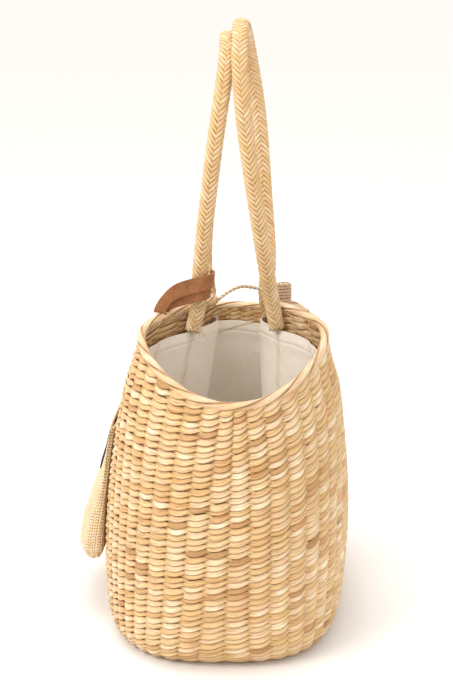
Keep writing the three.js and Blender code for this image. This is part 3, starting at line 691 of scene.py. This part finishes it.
def cotton_lining():
    turn = stake_turn(np.arange(LINING_TURNS) / LINING_TURNS * STAKES)
    top = share_below_rim(turn, hem_drop(turn))
    rings, shades = [], []
    spread = 1 - np.linspace(1, 0, LINING_LEVELS) ** 1.6
    for level in spread:
        share = 0.036 + (top - 0.036) * level
        height = rim_height(wall_point(turn, share)[:, 1])
        drop = (top - share) * height
        inset = lining_inset(turn, share, drop)
        shades.append(crease_shade(turn, share, drop))
        rings.append(inset_point(turn, share, inset, (LINING_HEIGHTS, LINING_PINCHES)))
    floor_edge = rings[0].copy()
    floor_edge[:, 2] = WALL + 1.0
    centre = floor_edge.mean(axis=0)
    floor_rings = []
    for shrink in (0.15, 0.35, 0.55, 0.75, 0.9):
        ring = centre + (floor_edge - centre) * shrink
        ring[:, 2] = WALL + 1.0 + 0.5 * np.sin(ring[:, 0] * 0.09) * np.sin(ring[:, 1] * 0.07)
        floor_rings.append(ring)
    rings = floor_rings + [floor_edge] + rings[1:]
    grid = np.array(rings)
    levels = len(grid)
    mesh = bpy.data.meshes.new("lining_cotton")
    points = np.concatenate([grid.reshape(-1, 3), centre[None]]) * MM
    faces = []
    for level in range(levels - 1):
        for i in range(LINING_TURNS):
            n = (i + 1) % LINING_TURNS
            a, b = level * LINING_TURNS, (level + 1) * LINING_TURNS
            faces.append((a + i, b + i, b + n, a + n))
    last = len(points) - 1
    faces += [(last, i, (i + 1) % LINING_TURNS) for i in range(LINING_TURNS)]
    mesh.from_pydata(points.tolist(), [], faces)
    mesh.update()
    shade = np.zeros(len(points))
    shade[len(floor_rings) * LINING_TURNS:-1] = np.concatenate(shades)
    mesh.attributes.new("crease", "FLOAT", "POINT").data.foreach_set(
        "value", shade.astype(np.float32))
    layer = mesh.uv_layers.new(name="cloth")
    corner = np.zeros(len(mesh.loops), int)
    mesh.loops.foreach_get("vertex_index", corner)
    across = np.tile(np.arange(LINING_TURNS) / LINING_TURNS * 0.9, levels)
    across = np.append(across, 0.5)
    up = np.append(points[:-1, 2], 0)
    flat = np.stack([across[corner], up[corner]], axis=1)
    layer.uv.foreach_set("vector", flat.reshape(-1).astype(np.float32))
    piece = new_object("lining_cotton", mesh)
    select_only(piece)
    thicken = piece.modifiers.new("cloth", "SOLIDIFY")
    thicken.thickness = LINING_THICKNESS * MM
    thicken.offset = 1
    bpy.ops.object.modifier_apply(modifier="cloth")
    bpy.ops.object.shade_smooth()
    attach(piece, "root")
    return piece


lining_cotton = cotton_lining()
print("lining:", triangles(lining_cotton), "triangles")

# %% [markdown]
# The suede strap is a band folded over the rim. Its plain solid already has the right
# course, so a copy of it is merged, its long edges are rounded, and it is smoothed.

# %% Suede strap


def copy_of_node(node, name):
    """A merged copy of a node's mesh, as an object of its own."""
    piece = new_object(name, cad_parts[node].data.copy())
    piece.data.name = name
    select_only(piece)
    bpy.ops.object.mode_set(mode="EDIT")
    bpy.ops.mesh.select_all(action="SELECT")
    bpy.ops.mesh.remove_doubles(threshold=0.00002)
    bpy.ops.mesh.tris_convert_to_quads(face_threshold=math.radians(50),
                                       shape_threshold=math.radians(60))
    bpy.ops.object.mode_set(mode="OBJECT")
    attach(piece, "root")
    return piece


STRAP_THICKNESS = 2


def suede_strap():
    piece = copy_of_node("leather_strap", "suede_strap")
    mesh = piece.data
    for vertex in mesh.vertices:
        droop = smooth_step((-0.043 - vertex.co.x) / 0.026)
        vertex.co.x += 0.0028 * droop
        vertex.co.z -= 0.005 * droop
    points = np.array([v.co for v in mesh.vertices]) / MM
    creases = mesh.attributes.new("crease_edge", "FLOAT", "EDGE")
    keys = np.array([e.vertices[:] for e in mesh.edges])
    lengths = np.linalg.norm(points[keys[:, 0]] - points[keys[:, 1]], axis=1)
    across = np.abs(lengths - STRAP_THICKNESS) < 0.03
    creases.data.foreach_set("value", np.where(across, 0, 1).astype(np.float32) * 0.9)
    for face in mesh.polygons:
        edges = [tuple(sorted(pair)) for pair in face.edge_keys]
        thin = sum(abs(np.linalg.norm(points[a] - points[b]) - STRAP_THICKNESS) < 0.03
                   for a, b in edges)
        face.material_index = 1 if thin >= 2 else 0
    select_only(piece)
    rounding = piece.modifiers.new("rounding", "BEVEL")
    rounding.width = 0.5 * MM
    rounding.segments = 2
    rounding.limit_method = "ANGLE"
    rounding.angle_limit = math.radians(55)
    rounding.material = -1
    smooth = piece.modifiers.new("smooth", "SUBSURF")
    smooth.levels = 2
    for name in ("rounding", "smooth"):
        bpy.ops.object.modifier_apply(modifier=name)
    bpy.ops.object.shade_smooth()
    return piece


strap = suede_strap()
print("strap:", triangles(strap), "triangles")

# %% [markdown]
# Twine. The closing cord is two plies of straw twisted together, and the toggle is wound
# with a finer twine. One helper twists plies round any line.

# %% Helper: twisted plies


def twisted(name, line, ply_width, lay, plies=2, sides=6):
    """Plies that wind round a line, all in millimetres."""
    along = unit(np.gradient(line, axis=0))
    run = run_along(line)
    side = np.zeros_like(line)
    side[0] = unit(np.cross(along[0], [0.13, 0.99, 0.05]))
    for i in range(1, len(line)):
        side[i] = unit(side[i - 1] - along[i] * (side[i - 1] @ along[i]))
    face = np.cross(along, side)
    middles, ways, tones = [], [], []
    for ply in range(plies):
        angle = run / lay * 2 * math.pi + ply / plies * 2 * math.pi
        arm = side * np.cos(angle)[:, None] + face * np.sin(angle)[:, None]
        middles.append(line + arm * ply_width * 0.46)
        ways.append(np.cross(along, arm))
        tones.append(np.clip(0.5 + 0.3 * smooth_noise(len(line), 12), 0, 1))
    shape = (plies, len(line))
    return lay_strands(name, np.array(middles), np.array(ways), np.full(shape, ply_width * 1.1),
                       np.full(shape, ply_width), np.array(tones), sides=sides, flatness=1)


CORD_LINE = ((-9.5, -0.8, 282), (-6.3, 0, 284.5), (2.9, 2.3, 290.7), (14.2, 5.2, 294.5),
             (39.2, 11.5, 289.3), (45.7, 13.4, 289.3), (47.5, 13.9, 289.3))
cord_path, cord_length = smooth_line(CORD_LINE, 150)
closing_cord = twisted("closing_cord", cord_path, 1.9, 8)
print("cord:", round(float(cord_length), 1), "mm long")

# %% [markdown]
# The toggle is a stub wound with twine in level turns. Its core is a cylinder with rounded
# ends, and the twine is one line that climbs round it and closes over both ends.

# %% Toggle
TOGGLE_MIDDLE = (53.22, 15.6, 286.4)
TOGGLE_RADIUS, TOGGLE_HALF, TOGGLE_TWINE = 7.2, 9.6, 2.9

bpy.ops.object.select_all(action="DESELECT")
bpy.ops.mesh.primitive_cylinder_add(
    vertices=48, radius=(TOGGLE_RADIUS - TOGGLE_TWINE / 2) * MM, depth=(2 * TOGGLE_HALF - 1.5) * MM,
    location=tuple(v * MM for v in TOGGLE_MIDDLE))
toggle_core = bpy.context.object
toggle_core.name = toggle_core.data.name = "toggle_core"
toggle_rounding = toggle_core.modifiers.new("rounding", "BEVEL")
toggle_rounding.width = 1.2 * MM
toggle_rounding.segments = 4
toggle_rounding.limit_method = "ANGLE"
bpy.ops.object.modifier_apply(modifier="rounding")
bpy.ops.object.transform_apply(location=True, rotation=True, scale=True)
bpy.ops.object.shade_smooth()
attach(toggle_core, "root")


def toggle_winding():
    lay_radius = TOGGLE_RADIUS - TOGGLE_TWINE / 2
    reach = TOGGLE_HALF - TOGGLE_TWINE / 2
    wraps = 2 * reach / TOGGLE_TWINE
    side_turns = np.linspace(0, wraps * 2 * math.pi, int(wraps * 60))
    level = np.interp(side_turns, (0, side_turns[-1]), (-reach, reach))
    radius = np.full_like(side_turns, lay_radius)
    cap_wraps = (lay_radius - 1) / TOGGLE_TWINE
    cap = np.linspace(0, cap_wraps * 2 * math.pi, int(cap_wraps * 60))[1:]
    cap_radius = lay_radius - cap / (2 * math.pi) * TOGGLE_TWINE
    turns = np.concatenate([-cap[::-1], side_turns, side_turns[-1] + cap])
    radius = np.concatenate([cap_radius[::-1], radius, cap_radius])
    level = np.concatenate([np.full(len(cap), -reach), level, np.full(len(cap), reach)])
    line = np.stack([radius * np.cos(turns), radius * np.sin(turns), level], axis=1)
    return twisted("toggle_winding", line + TOGGLE_MIDDLE, TOGGLE_TWINE * 0.56, 5)


winding = toggle_winding()
print("toggle:", triangles(winding), "triangles")

# %% [markdown]
# The pouch is sewn from fine braids that run up and down, side by side. Each braid is a
# column of small chevrons. The columns keep even distances round the pouch, so its outline
# is read off the plain solid level by level, and a slightly smaller copy of that solid
# fills what shows between the stitches.

# %% Pouch: outlines
POUCH_LOW, POUCH_HIGH = 50.6, 177.5
POUCH_COLUMNS, POUCH_CHEVRONS = 62, 46
POUCH_INSIDE = (-107, 0)

pouch_core = copy_of_node("side_pouch", "pouch_core")
pouch_tree = BVHTree.FromPolygons(
    [tuple(v.co) for v in pouch_core.data.vertices],
    [tuple(face.vertices) for face in pouch_core.data.polygons])


def pouch_press(point):
    """The pouch's mouth lies nearly flat, so its outer face leans in towards the wall."""
    back = pouch_tree.ray_cast(Vector((-40, point[1], point[2])) * MM, Vector((-1, 0, 0)))[0]
    if back is None:
        return 0.0
    lean = 0.5 * smooth_step((point[2] - 96) / 80)
    return max(back.x / MM - point[0], 0) * lean


def pouch_outline(z):
    """The pouch's outer edge at a height, as even points round it."""
    spots = []
    middle = pouch_middle(z)
    for turn in np.linspace(0, 2 * math.pi, 240, endpoint=False):
        way = Vector((math.cos(turn), math.sin(turn), 0))
        start = Vector((*middle, z)) * MM + way * 0.3
        hit = pouch_tree.ray_cast(start, -way)[0]
        if hit is not None:
            spots.append(np.array(hit) / MM)
    spots = np.array(spots)
    closed = np.concatenate([spots, spots[:1]])
    run = run_along(closed)
    even = np.arange(POUCH_COLUMNS * 4) / (POUCH_COLUMNS * 4) * run[-1]
    return np.stack([np.interp(even, run, closed[:, i]) for i in range(3)], axis=1)


def pouch_middle(z):
    """Middle of the pouch's section at a height."""
    spots = []
    for y in (-30, 0, 30):
        for way in (1, -1):
            start = Vector((-300 * way - 100, y, z)) * MM
            hit = pouch_tree.ray_cast(start, Vector((way, 0, 0)))[0]
            if hit is not None:
                spots.append(hit.x / MM)
    return (sum(spots) / max(len(spots), 1), 0.0)


pouch_levels = np.linspace(POUCH_LOW, POUCH_HIGH, POUCH_CHEVRONS + 1)
pouch_outlines = np.array([pouch_outline(float(z)) for z in pouch_levels])
for ring in pouch_outlines:
    ring[:, 0] += [pouch_press(spot) for spot in ring]
print("pouch outline:", round(float(np.ptp(pouch_outlines[..., 1]))), "mm wide")

# %% Pouch: braided columns
POUCH_STRAW = 0.75


def pouch_braids():
    grid = pouch_outlines
    spokes = grid.shape[1]
    out = np.cross(np.roll(grid, -1, axis=1) - np.roll(grid, 1, axis=1), [0, 0, 1.0])
    out = unit(out)
    middles, ways, widths, depths, tones = [], [], [], [], []
    for column in range(POUCH_COLUMNS):
        column_tone = 0.2 * (random.random() - 0.5)
        for side in (-1, 1):
            edge = (4 * column + 2 * side) % spokes
            heart = 4 * column % spokes
            for level in range(POUCH_CHEVRONS):
                high = min(level + 1, POUCH_CHEVRONS)
                start = grid[high, edge] + out[high, edge] * (POUCH_STRAW * 0.2)
                end = grid[level, heart] + out[level, heart] * (POUCH_STRAW * 0.2)
                middle = (start + end) / 2 + out[level, (heart + side) % spokes] * (POUCH_STRAW * 0.75)
                middles.append((start, middle, end))
                ways.append([np.cross(out[level, heart], end - start)] * 3)
                widths.append((2.2, 2.9, 2.0))
                depths.append((0.5, POUCH_STRAW, 0.5))
                tones.append([np.clip(0.55 + column_tone + 0.3 * (random.random() - 0.5), 0, 1)] * 3)
    return lay_strands("pouch_braids", np.array(middles), np.array(ways), np.array(widths),
                       np.array(depths), np.array(tones), sides=5)


pouch_weave = pouch_braids()
print("pouch braids:", triangles(pouch_weave), "triangles")


def pouch_edges():
    """A twisted edge round the mouth."""
    mouth = pouch_outlines[-1][::4] + [0, 0, 0.6]
    even, _ = smooth_line(np.concatenate([mouth, mouth[:1]]), 420)
    return twisted("pouch_mouth_edge", even, 1.5, 6)


pouch_edge = pouch_edges()


def press_piece(piece, offset=0.0):
    """Leans a piece of the pouch with the pouch's outer face."""
    for vertex in piece.data.vertices:
        spot = np.array(vertex.co) / MM
        vertex.co.x += pouch_press(spot + [offset, 0, 0]) * MM
    piece.data.update()


def shrink(piece, amount):
    """Moves a closed piece's faces inwards a little."""
    points = np.array([v.co for v in piece.data.vertices])
    normals = np.array([v.normal for v in piece.data.vertices])
    piece.data.vertices.foreach_set("co", (points - normals * amount * MM).reshape(-1).astype(np.float32))
    piece.data.update()


press_piece(pouch_core)
shrink(pouch_core, 0.35)
print("pouch edge:", triangles(pouch_edge), "triangles")

# %% [markdown]
# The patch is a thin piece of black leather, sewn on near its edge. It is left blank.

# %% Patch and ties
patch = copy_of_node("pouch_patch", "black_patch")
press_piece(patch, 0.6)
for vertex in patch.data.vertices:
    if vertex.normal.x < -0.4:
        vertex.co.x -= 0.9 * MM
patch.data.update()
select_only(patch)
patch_rounding = patch.modifiers.new("rounding", "BEVEL")
patch_rounding.width = 0.35 * MM
patch_rounding.segments = 2
patch_rounding.limit_method = "ANGLE"
patch_rounding.angle_limit = math.radians(50)
bpy.ops.object.modifier_apply(modifier="rounding")
bpy.ops.object.shade_smooth()


def patch_stitches():
    points = np.array([v.co for v in patch.data.vertices]) / MM
    low, high = points.min(axis=0), points.max(axis=0)
    tree = BVHTree.FromPolygons([tuple(v.co) for v in patch.data.vertices],
                                [tuple(face.vertices) for face in patch.data.polygons])
    inset, step = 2.4, 3.2
    corners = [(low[1] + inset, low[2] + inset), (high[1] - inset, low[2] + inset),
               (high[1] - inset, high[2] - inset), (low[1] + inset, high[2] - inset)]
    middles, ways = [], []
    for (y0, z0), (y1, z1) in zip(corners, corners[1:] + corners[:1]):
        count = int(math.hypot(y1 - y0, z1 - z0) / step)
        for i in range(count):
            spots = []
            for share in ((i + 0.15) / count, (i + 0.5) / count, (i + 0.85) / count):
                start = Vector((-300, y0 + (y1 - y0) * share, z0 + (z1 - z0) * share)) * MM
                hit = tree.ray_cast(start, Vector((1, 0, 0)))[0]
                if hit is not None:
                    spots.append(np.array(hit) / MM)
            if len(spots) == 3:
                spots[1] = spots[1] - [0.25, 0, 0]
                middles.append(spots)
                ways.append([np.cross(spots[2] - spots[0], [1, 0, 0])] * 3)
    shape = (len(middles), 3)
    return lay_strands("patch_stitches", np.array(middles), np.array(ways), np.full(shape, 0.55),
                       np.full(shape, 0.45), np.full(shape, 0.5), sides=6, flatness=1)


patch_sewing = patch_stitches()


def pouch_tie(node, name):
    """A few turns of twine between the wall and the pouch's back."""
    points = np.array([v.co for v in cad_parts[node].data.vertices]) / MM
    low, high = points.min(axis=0), points.max(axis=0)
    middle, radius = (low + high) / 2, (high[2] - low[2]) / 2 - 0.9
    turns = np.linspace(0, 4 * 2 * math.pi, 200)
    x = np.linspace(low[0] + 0.6, high[0] - 0.6, 200)
    line = np.stack([x, middle[1] + radius * np.cos(turns), middle[2] + radius * np.sin(turns)], axis=1)
    return twisted(name, line, 1.0, 5)


tie_near = pouch_tie("pouch_tie_near", "tie_near")
tie_far = pouch_tie("pouch_tie_far", "tie_far")
print("patch stitches:", len(patch_sewing.data.polygons), "faces")

# %% [markdown]
# Straw. Dried straw is pale cream to golden tan, satin on its outer skin, with fine fibres
# along it. The tone on each strand picks its colour, and the map along the strand
# stretches the fibre pattern. The long edges of each strand are darkened as painted shade.

# %% Material helpers


def new_material(name, roughness, specular=0.4):
    material = bpy.data.materials.new(name)
    material.use_nodes = True
    nodes = material.node_tree.nodes
    shader = nodes["Principled BSDF"]
    shader.inputs["Roughness"].default_value = roughness
    shader.inputs["Specular IOR Level"].default_value = specular
    return material, material.node_tree, shader


def add_node(tree, kind, **settings):
    node = tree.nodes.new(kind)
    for key, value in settings.items():
        if key in node.inputs:
            node.inputs[key].default_value = value
        else:
            setattr(node, key, value)
    return node


def ramp(tree, source, stops):
    node = tree.nodes.new("ShaderNodeValToRGB")
    elements = node.color_ramp.elements
    while len(elements) < len(stops):
        elements.new(0.5)
    for element, (place, colour) in zip(elements, stops):
        element.position = place
        element.color = (*colour, 1)
    tree.links.new(source, node.inputs["Fac"])
    return node.outputs["Color"]


def blend_colours(tree, share, first, second, kind="MIX"):
    node = tree.nodes.new("ShaderNodeMix")
    node.data_type = "RGBA"
    node.blend_type = kind
    for socket, value in ((node.inputs[0], share), (node.inputs[6], first), (node.inputs[7], second)):
        if isinstance(value, bpy.types.NodeSocket):
            tree.links.new(value, socket)
        elif isinstance(value, tuple):
            socket.default_value = (*value, 1)
        else:
            socket.default_value = value
    return node.outputs[2]


def fibre_place(tree, along, across):
    """The strand's own map, stretched so that a pattern runs along it."""
    layer = add_node(tree, "ShaderNodeUVMap", uv_map="fibre")
    mapping = tree.nodes.new("ShaderNodeMapping")
    mapping.inputs["Scale"].default_value = (along, across, 1)
    tree.links.new(layer.outputs["UV"], mapping.inputs["Vector"])
    return mapping.outputs["Vector"]


def noise(tree, place, scale, detail=2.0, roughness=0.5):
    node = add_node(tree, "ShaderNodeTexNoise", Scale=scale, Detail=detail, Roughness=roughness)
    tree.links.new(place, node.inputs["Vector"])
    return node.outputs["Fac"]


def add_bump(tree, shader, height, distance, strength=0.6):
    node = add_node(tree, "ShaderNodeBump", Strength=strength, Distance=distance)
    tree.links.new(height, node.inputs["Height"])
    tree.links.new(node.outputs["Normal"], shader.inputs["Normal"])


def painted_edge_shade(tree):
    """1 along both long edges of a strand and 0 between, where painted shade darkens the straw."""
    layer = add_node(tree, "ShaderNodeUVMap", uv_map="fibre")
    parts = tree.nodes.new("ShaderNodeSeparateXYZ")
    tree.links.new(layer.outputs["UV"], parts.inputs["Vector"])
    value = parts.outputs["Y"]
    for operation, second in (("MULTIPLY", 2 * math.pi), ("COSINE", 0), ("ABSOLUTE", 0), ("POWER", 5)):
        step = add_node(tree, "ShaderNodeMath", operation=operation)
        tree.links.new(value, step.inputs[0])
        step.inputs[1].default_value = second
        value = step.outputs["Value"]
    return value


def straw_material(name, stops, roughness=0.5, edge_shade_amount=0.85):
    material, tree, shader = new_material(name, roughness)
    tone_and_shade = add_node(tree, "ShaderNodeAttribute", attribute_name="tone_and_shade").outputs["Fac"]
    colour = ramp(tree, tone_and_shade, stops)
    streaks = noise(tree, fibre_place(tree, 55, 17), 1.0, detail=4)
    fibres = ramp(tree, streaks, ((0.32, (0.62, 0.47, 0.3)), (0.5, (1, 1, 1)), (0.7, (1.12, 1.12, 1.1))))
    colour = blend_colours(tree, 0.75, colour, fibres, "MULTIPLY")
    blotch_place = add_node(tree, "ShaderNodeTexCoord").outputs["Object"]
    blotches = ramp(tree, noise(tree, blotch_place, 34, detail=2), (
        (0.35, (0.93, 0.86, 0.74)), (0.62, (1, 1, 1))))
    colour = blend_colours(tree, 0.6, colour, blotches, "MULTIPLY")
    hues = ramp(tree, noise(tree, blotch_place, 105, detail=2), (
        (0.36, (1, 0.97, 0.82)), (0.5, (1, 1, 1)), (0.64, (1, 0.9, 0.86))))
    colour = blend_colours(tree, 0.8, colour, hues, "MULTIPLY")
    # Painted shade: each strand's long edges are darkened, where it meets its neighbours.
    edges = ramp(tree, painted_edge_shade(tree), ((0.25, (1, 1, 1)), (1.0, (0.42, 0.26, 0.13))))
    colour = blend_colours(tree, edge_shade_amount, colour, edges, "MULTIPLY")
    tree.links.new(colour, shader.inputs["Base Color"])
    add_bump(tree, shader, streaks, 0.0006, 0.5)
    return material


STRAW_STOPS = (
    (0.0, (0.46, 0.26, 0.115)),
    (0.08, (0.65, 0.42, 0.2)),
    (0.22, (0.7, 0.49, 0.25)),
    (0.42, (0.71, 0.53, 0.3)),
    (0.6, (0.74, 0.54, 0.32)),
    (0.78, (0.78, 0.61, 0.4)),
    (0.9, (0.8, 0.66, 0.45)),
    (1.0, (0.88, 0.78, 0.62)),
)
straw = straw_material("straw", STRAW_STOPS)
BORDER_STOPS = (
    (0.0, (0.66, 0.43, 0.2)),
    (0.4, (0.74, 0.54, 0.34)),
    (1.0, (0.8, 0.65, 0.47)),
)
border_straw = straw_material("border_straw", BORDER_STOPS, 0.42, 0.6)
POUCH_STOPS = (
    (0.0, (0.66, 0.46, 0.26)),
    (0.4, (0.82, 0.67, 0.46)),
    (1.0, (0.92, 0.82, 0.64)),
)
pouch_straw = straw_material("pouch_straw", POUCH_STOPS, 0.6)
TWINE_STOPS = (
    (0.0, (0.54, 0.42, 0.34)),
    (0.5, (0.7, 0.57, 0.47)),
    (1.0, (0.82, 0.71, 0.61)),
)
toggle_twine = straw_material("toggle_twine", TWINE_STOPS, 0.75, 0.25)
CORD_STOPS = (
    (0.0, (0.66, 0.53, 0.38)),
    (1.0, (0.86, 0.77, 0.62)),
)
cord_straw = straw_material("cord_straw", CORD_STOPS, 0.6, 0.25)
print(len(bpy.data.materials), "materials so far")

# %% [markdown]
# Cloth and leather. The cotton is a plain weave with faint slubs. The suede has a soft nap
# in two scales and a darker cut edge. The patch has a fine pebble grain.

# %% Cotton
cotton, cotton_tree, cotton_shader = new_material("cotton", 0.92, 0.15)
cotton_shader.inputs["Sheen Weight"].default_value = 0.2
cotton_place = add_node(cotton_tree, "ShaderNodeTexCoord").outputs["Object"]
cotton_blotch = noise(cotton_tree, cotton_place, 18, detail=4)
cotton_colour = ramp(cotton_tree, cotton_blotch, (
    (0.3, (0.9, 0.83, 0.735)), (0.7, (0.94, 0.885, 0.81))))
# Painted shade: the cloth is darkened beside each fold and along the far wall's sewn line.
fold_shade_mark = add_node(cotton_tree, "ShaderNodeAttribute", attribute_name="crease").outputs["Fac"]
painted_fold_shade = ramp(cotton_tree, fold_shade_mark, (
    (0.0, (1, 1, 1)), (0.7, (0.86, 0.8, 0.72)), (1.0, (0.62, 0.47, 0.33))))
cotton_colour = blend_colours(cotton_tree, 1.0, cotton_colour, painted_fold_shade, "MULTIPLY")
cotton_tree.links.new(cotton_colour, cotton_shader.inputs["Base Color"])
cloth_map = add_node(cotton_tree, "ShaderNodeUVMap", uv_map="cloth")


def thread_wave(direction):
    wave = add_node(cotton_tree, "ShaderNodeTexWave", bands_direction=direction, Distortion=1.2)
    wave.inputs["Scale"].default_value = 420
    wave.inputs["Detail Scale"].default_value = 2
    cotton_tree.links.new(cloth_map.outputs["UV"], wave.inputs["Vector"])
    return wave.outputs["Fac"]


threads = add_node(cotton_tree, "ShaderNodeMath", operation="MAXIMUM")
cotton_tree.links.new(thread_wave("X"), threads.inputs[0])
cotton_tree.links.new(thread_wave("Y"), threads.inputs[1])
wrinkles = add_node(cotton_tree, "ShaderNodeMath", operation="MULTIPLY_ADD")
cotton_tree.links.new(noise(cotton_tree, cotton_place, 42, detail=3, roughness=0.6), wrinkles.inputs[0])
wrinkles.inputs[1].default_value = 14
cotton_tree.links.new(threads.outputs["Value"], wrinkles.inputs[2])
add_bump(cotton_tree, cotton_shader, wrinkles.outputs["Value"], 0.0003, 0.5)

# %% Suede and leather


def nap_material(name, dark, light, roughness, fine):
    material, tree, shader = new_material(name, roughness, 0.25)
    place = add_node(tree, "ShaderNodeTexCoord").outputs["Object"]
    broad = noise(tree, place, 95, detail=4, roughness=0.65)
    nap = noise(tree, place, fine, detail=3, roughness=0.6)
    both = add_node(tree, "ShaderNodeMath", operation="MULTIPLY")
    tree.links.new(broad, both.inputs[0])
    tree.links.new(nap, both.inputs[1])
    colour = ramp(tree, both.outputs["Value"], ((0.14, dark), (0.38, light)))
    tree.links.new(colour, shader.inputs["Base Color"])
    add_bump(tree, shader, nap, 0.0004, 0.5)
    return material, shader


suede, suede_shader = nap_material("suede", (0.22, 0.085, 0.032), (0.42, 0.185, 0.075), 0.85, 1500)
suede_shader.inputs["Sheen Weight"].default_value = 0.35
suede_shader.inputs["Sheen Tint"].default_value = (0.95, 0.75, 0.55, 1)
suede_edge, _ = nap_material("suede_edge", (0.1, 0.04, 0.015), (0.2, 0.085, 0.035), 0.8, 2200)
patch_leather, patch_tree, patch_shader = new_material("patch_leather", 0.5, 0.4)
patch_place = add_node(patch_tree, "ShaderNodeTexCoord").outputs["Object"]
pebbles = add_node(patch_tree, "ShaderNodeTexVoronoi", Scale=1100.0)
patch_tree.links.new(patch_place, pebbles.inputs["Vector"])
patch_colour = ramp(patch_tree, noise(patch_tree, patch_place, 120, detail=3), (
    (0.3, (0.012, 0.012, 0.013)), (0.75, (0.035, 0.034, 0.034))))
patch_tree.links.new(patch_colour, patch_shader.inputs["Base Color"])
add_bump(patch_tree, patch_shader, pebbles.outputs["Distance"], 0.0003, 0.5)
patch_thread, _ = nap_material("patch_thread", (0.03, 0.028, 0.026), (0.09, 0.085, 0.08), 0.7, 2500)
shade_straw, _ = nap_material("shade_straw", (0.16, 0.09, 0.045), (0.3, 0.19, 0.1), 0.9, 900)

# %% Dress the pieces


def dress(piece, node, slot, *materials):
    """Gives a piece its materials and hides the plain solid it stands for. The slot is not used."""
    piece.data.materials.clear()
    for material in materials:
        piece.data.materials.append(material)
    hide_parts(node)


for piece in (wall_low, wall_middle, wall_high, base_weave, stake_stitches):
    dress(piece, "basket_body", "straw", straw)
dress(lining_cotton, "lining", "cotton", cotton)
dress(border_roll, "rim_border", "border_straw", border_straw)
dress(braid_left, "handle_left", "braid", straw)
dress(braid_right, "handle_right", "braid", straw)
dress(frays, "handle_left", "braid", straw)
dress(strap, "leather_strap", "suede", suede, suede_edge)
dress(closing_cord, "closure_cord", "twine", cord_straw)
dress(toggle_core, "toggle", "twine", shade_straw)
dress(winding, "toggle", "twine", toggle_twine)
dress(pouch_core, "side_pouch", "straw", shade_straw)
dress(pouch_weave, "side_pouch", "straw", pouch_straw)
dress(pouch_edge, "side_pouch", "straw", pouch_straw)
dress(patch, "pouch_patch", "patch_leather", patch_leather)
dress(patch_sewing, "pouch_patch", "patch_leather", patch_thread)
dress(tie_near, "pouch_tie_near", "straw", cord_straw)
dress(tie_far, "pouch_tie_far", "straw", cord_straw)
print(len(bpy.data.materials), "materials in all")

# %% [markdown]
# The bag stands on a plain, nearly white floor, so wide that its edge is lost in the
# distance. The room lights it evenly, and soft lights from the left front and from above
# leave the right side of each float in shade.

# %% Floor and light
bpy.ops.object.select_all(action="DESELECT")
bpy.ops.mesh.primitive_plane_add(size=80, location=(0, 0, 0))
floor = bpy.context.object
floor.name = "floor"
floor_material, floor_tree, floor_shader = new_material("floor", 0.9, 0.1)
floor_shader.inputs["Base Color"].default_value = (0.98, 0.975, 0.97, 1)
floor.data.materials.append(floor_material)

world = bpy.data.worlds.new("room")
bpy.context.scene.world = world
world.use_nodes = True
world.node_tree.nodes["Background"].inputs["Color"].default_value = (1, 0.956, 0.913, 1)
world.node_tree.nodes["Background"].inputs["Strength"].default_value = 1.04


def area_light(name, place, aim, size, power, colour):
    light = bpy.data.lights.new(name, "AREA")
    light.size = size
    light.energy = power
    light.color = colour
    lamp = bpy.data.objects.new(name, light)
    bpy.context.scene.collection.objects.link(lamp)
    lamp.location = place
    lamp.rotation_euler = (Vector(aim) - Vector(place)).to_track_quat("-Z", "Y").to_euler()
    return lamp


area_light("key", (-1.3, -1.1, 1.5), (0, 0, 0.2), 0.9, 18, (1, 0.97, 0.93))
area_light("fill", (1.2, -1.8, 0.9), (0, 0, 0.2), 1.6, 1, (1, 0.98, 0.96))
area_light("top", (-0.15, 0.1, 1.7), (0.02, 0.05, 0.2), 0.8, 10, (1, 0.97, 0.93))
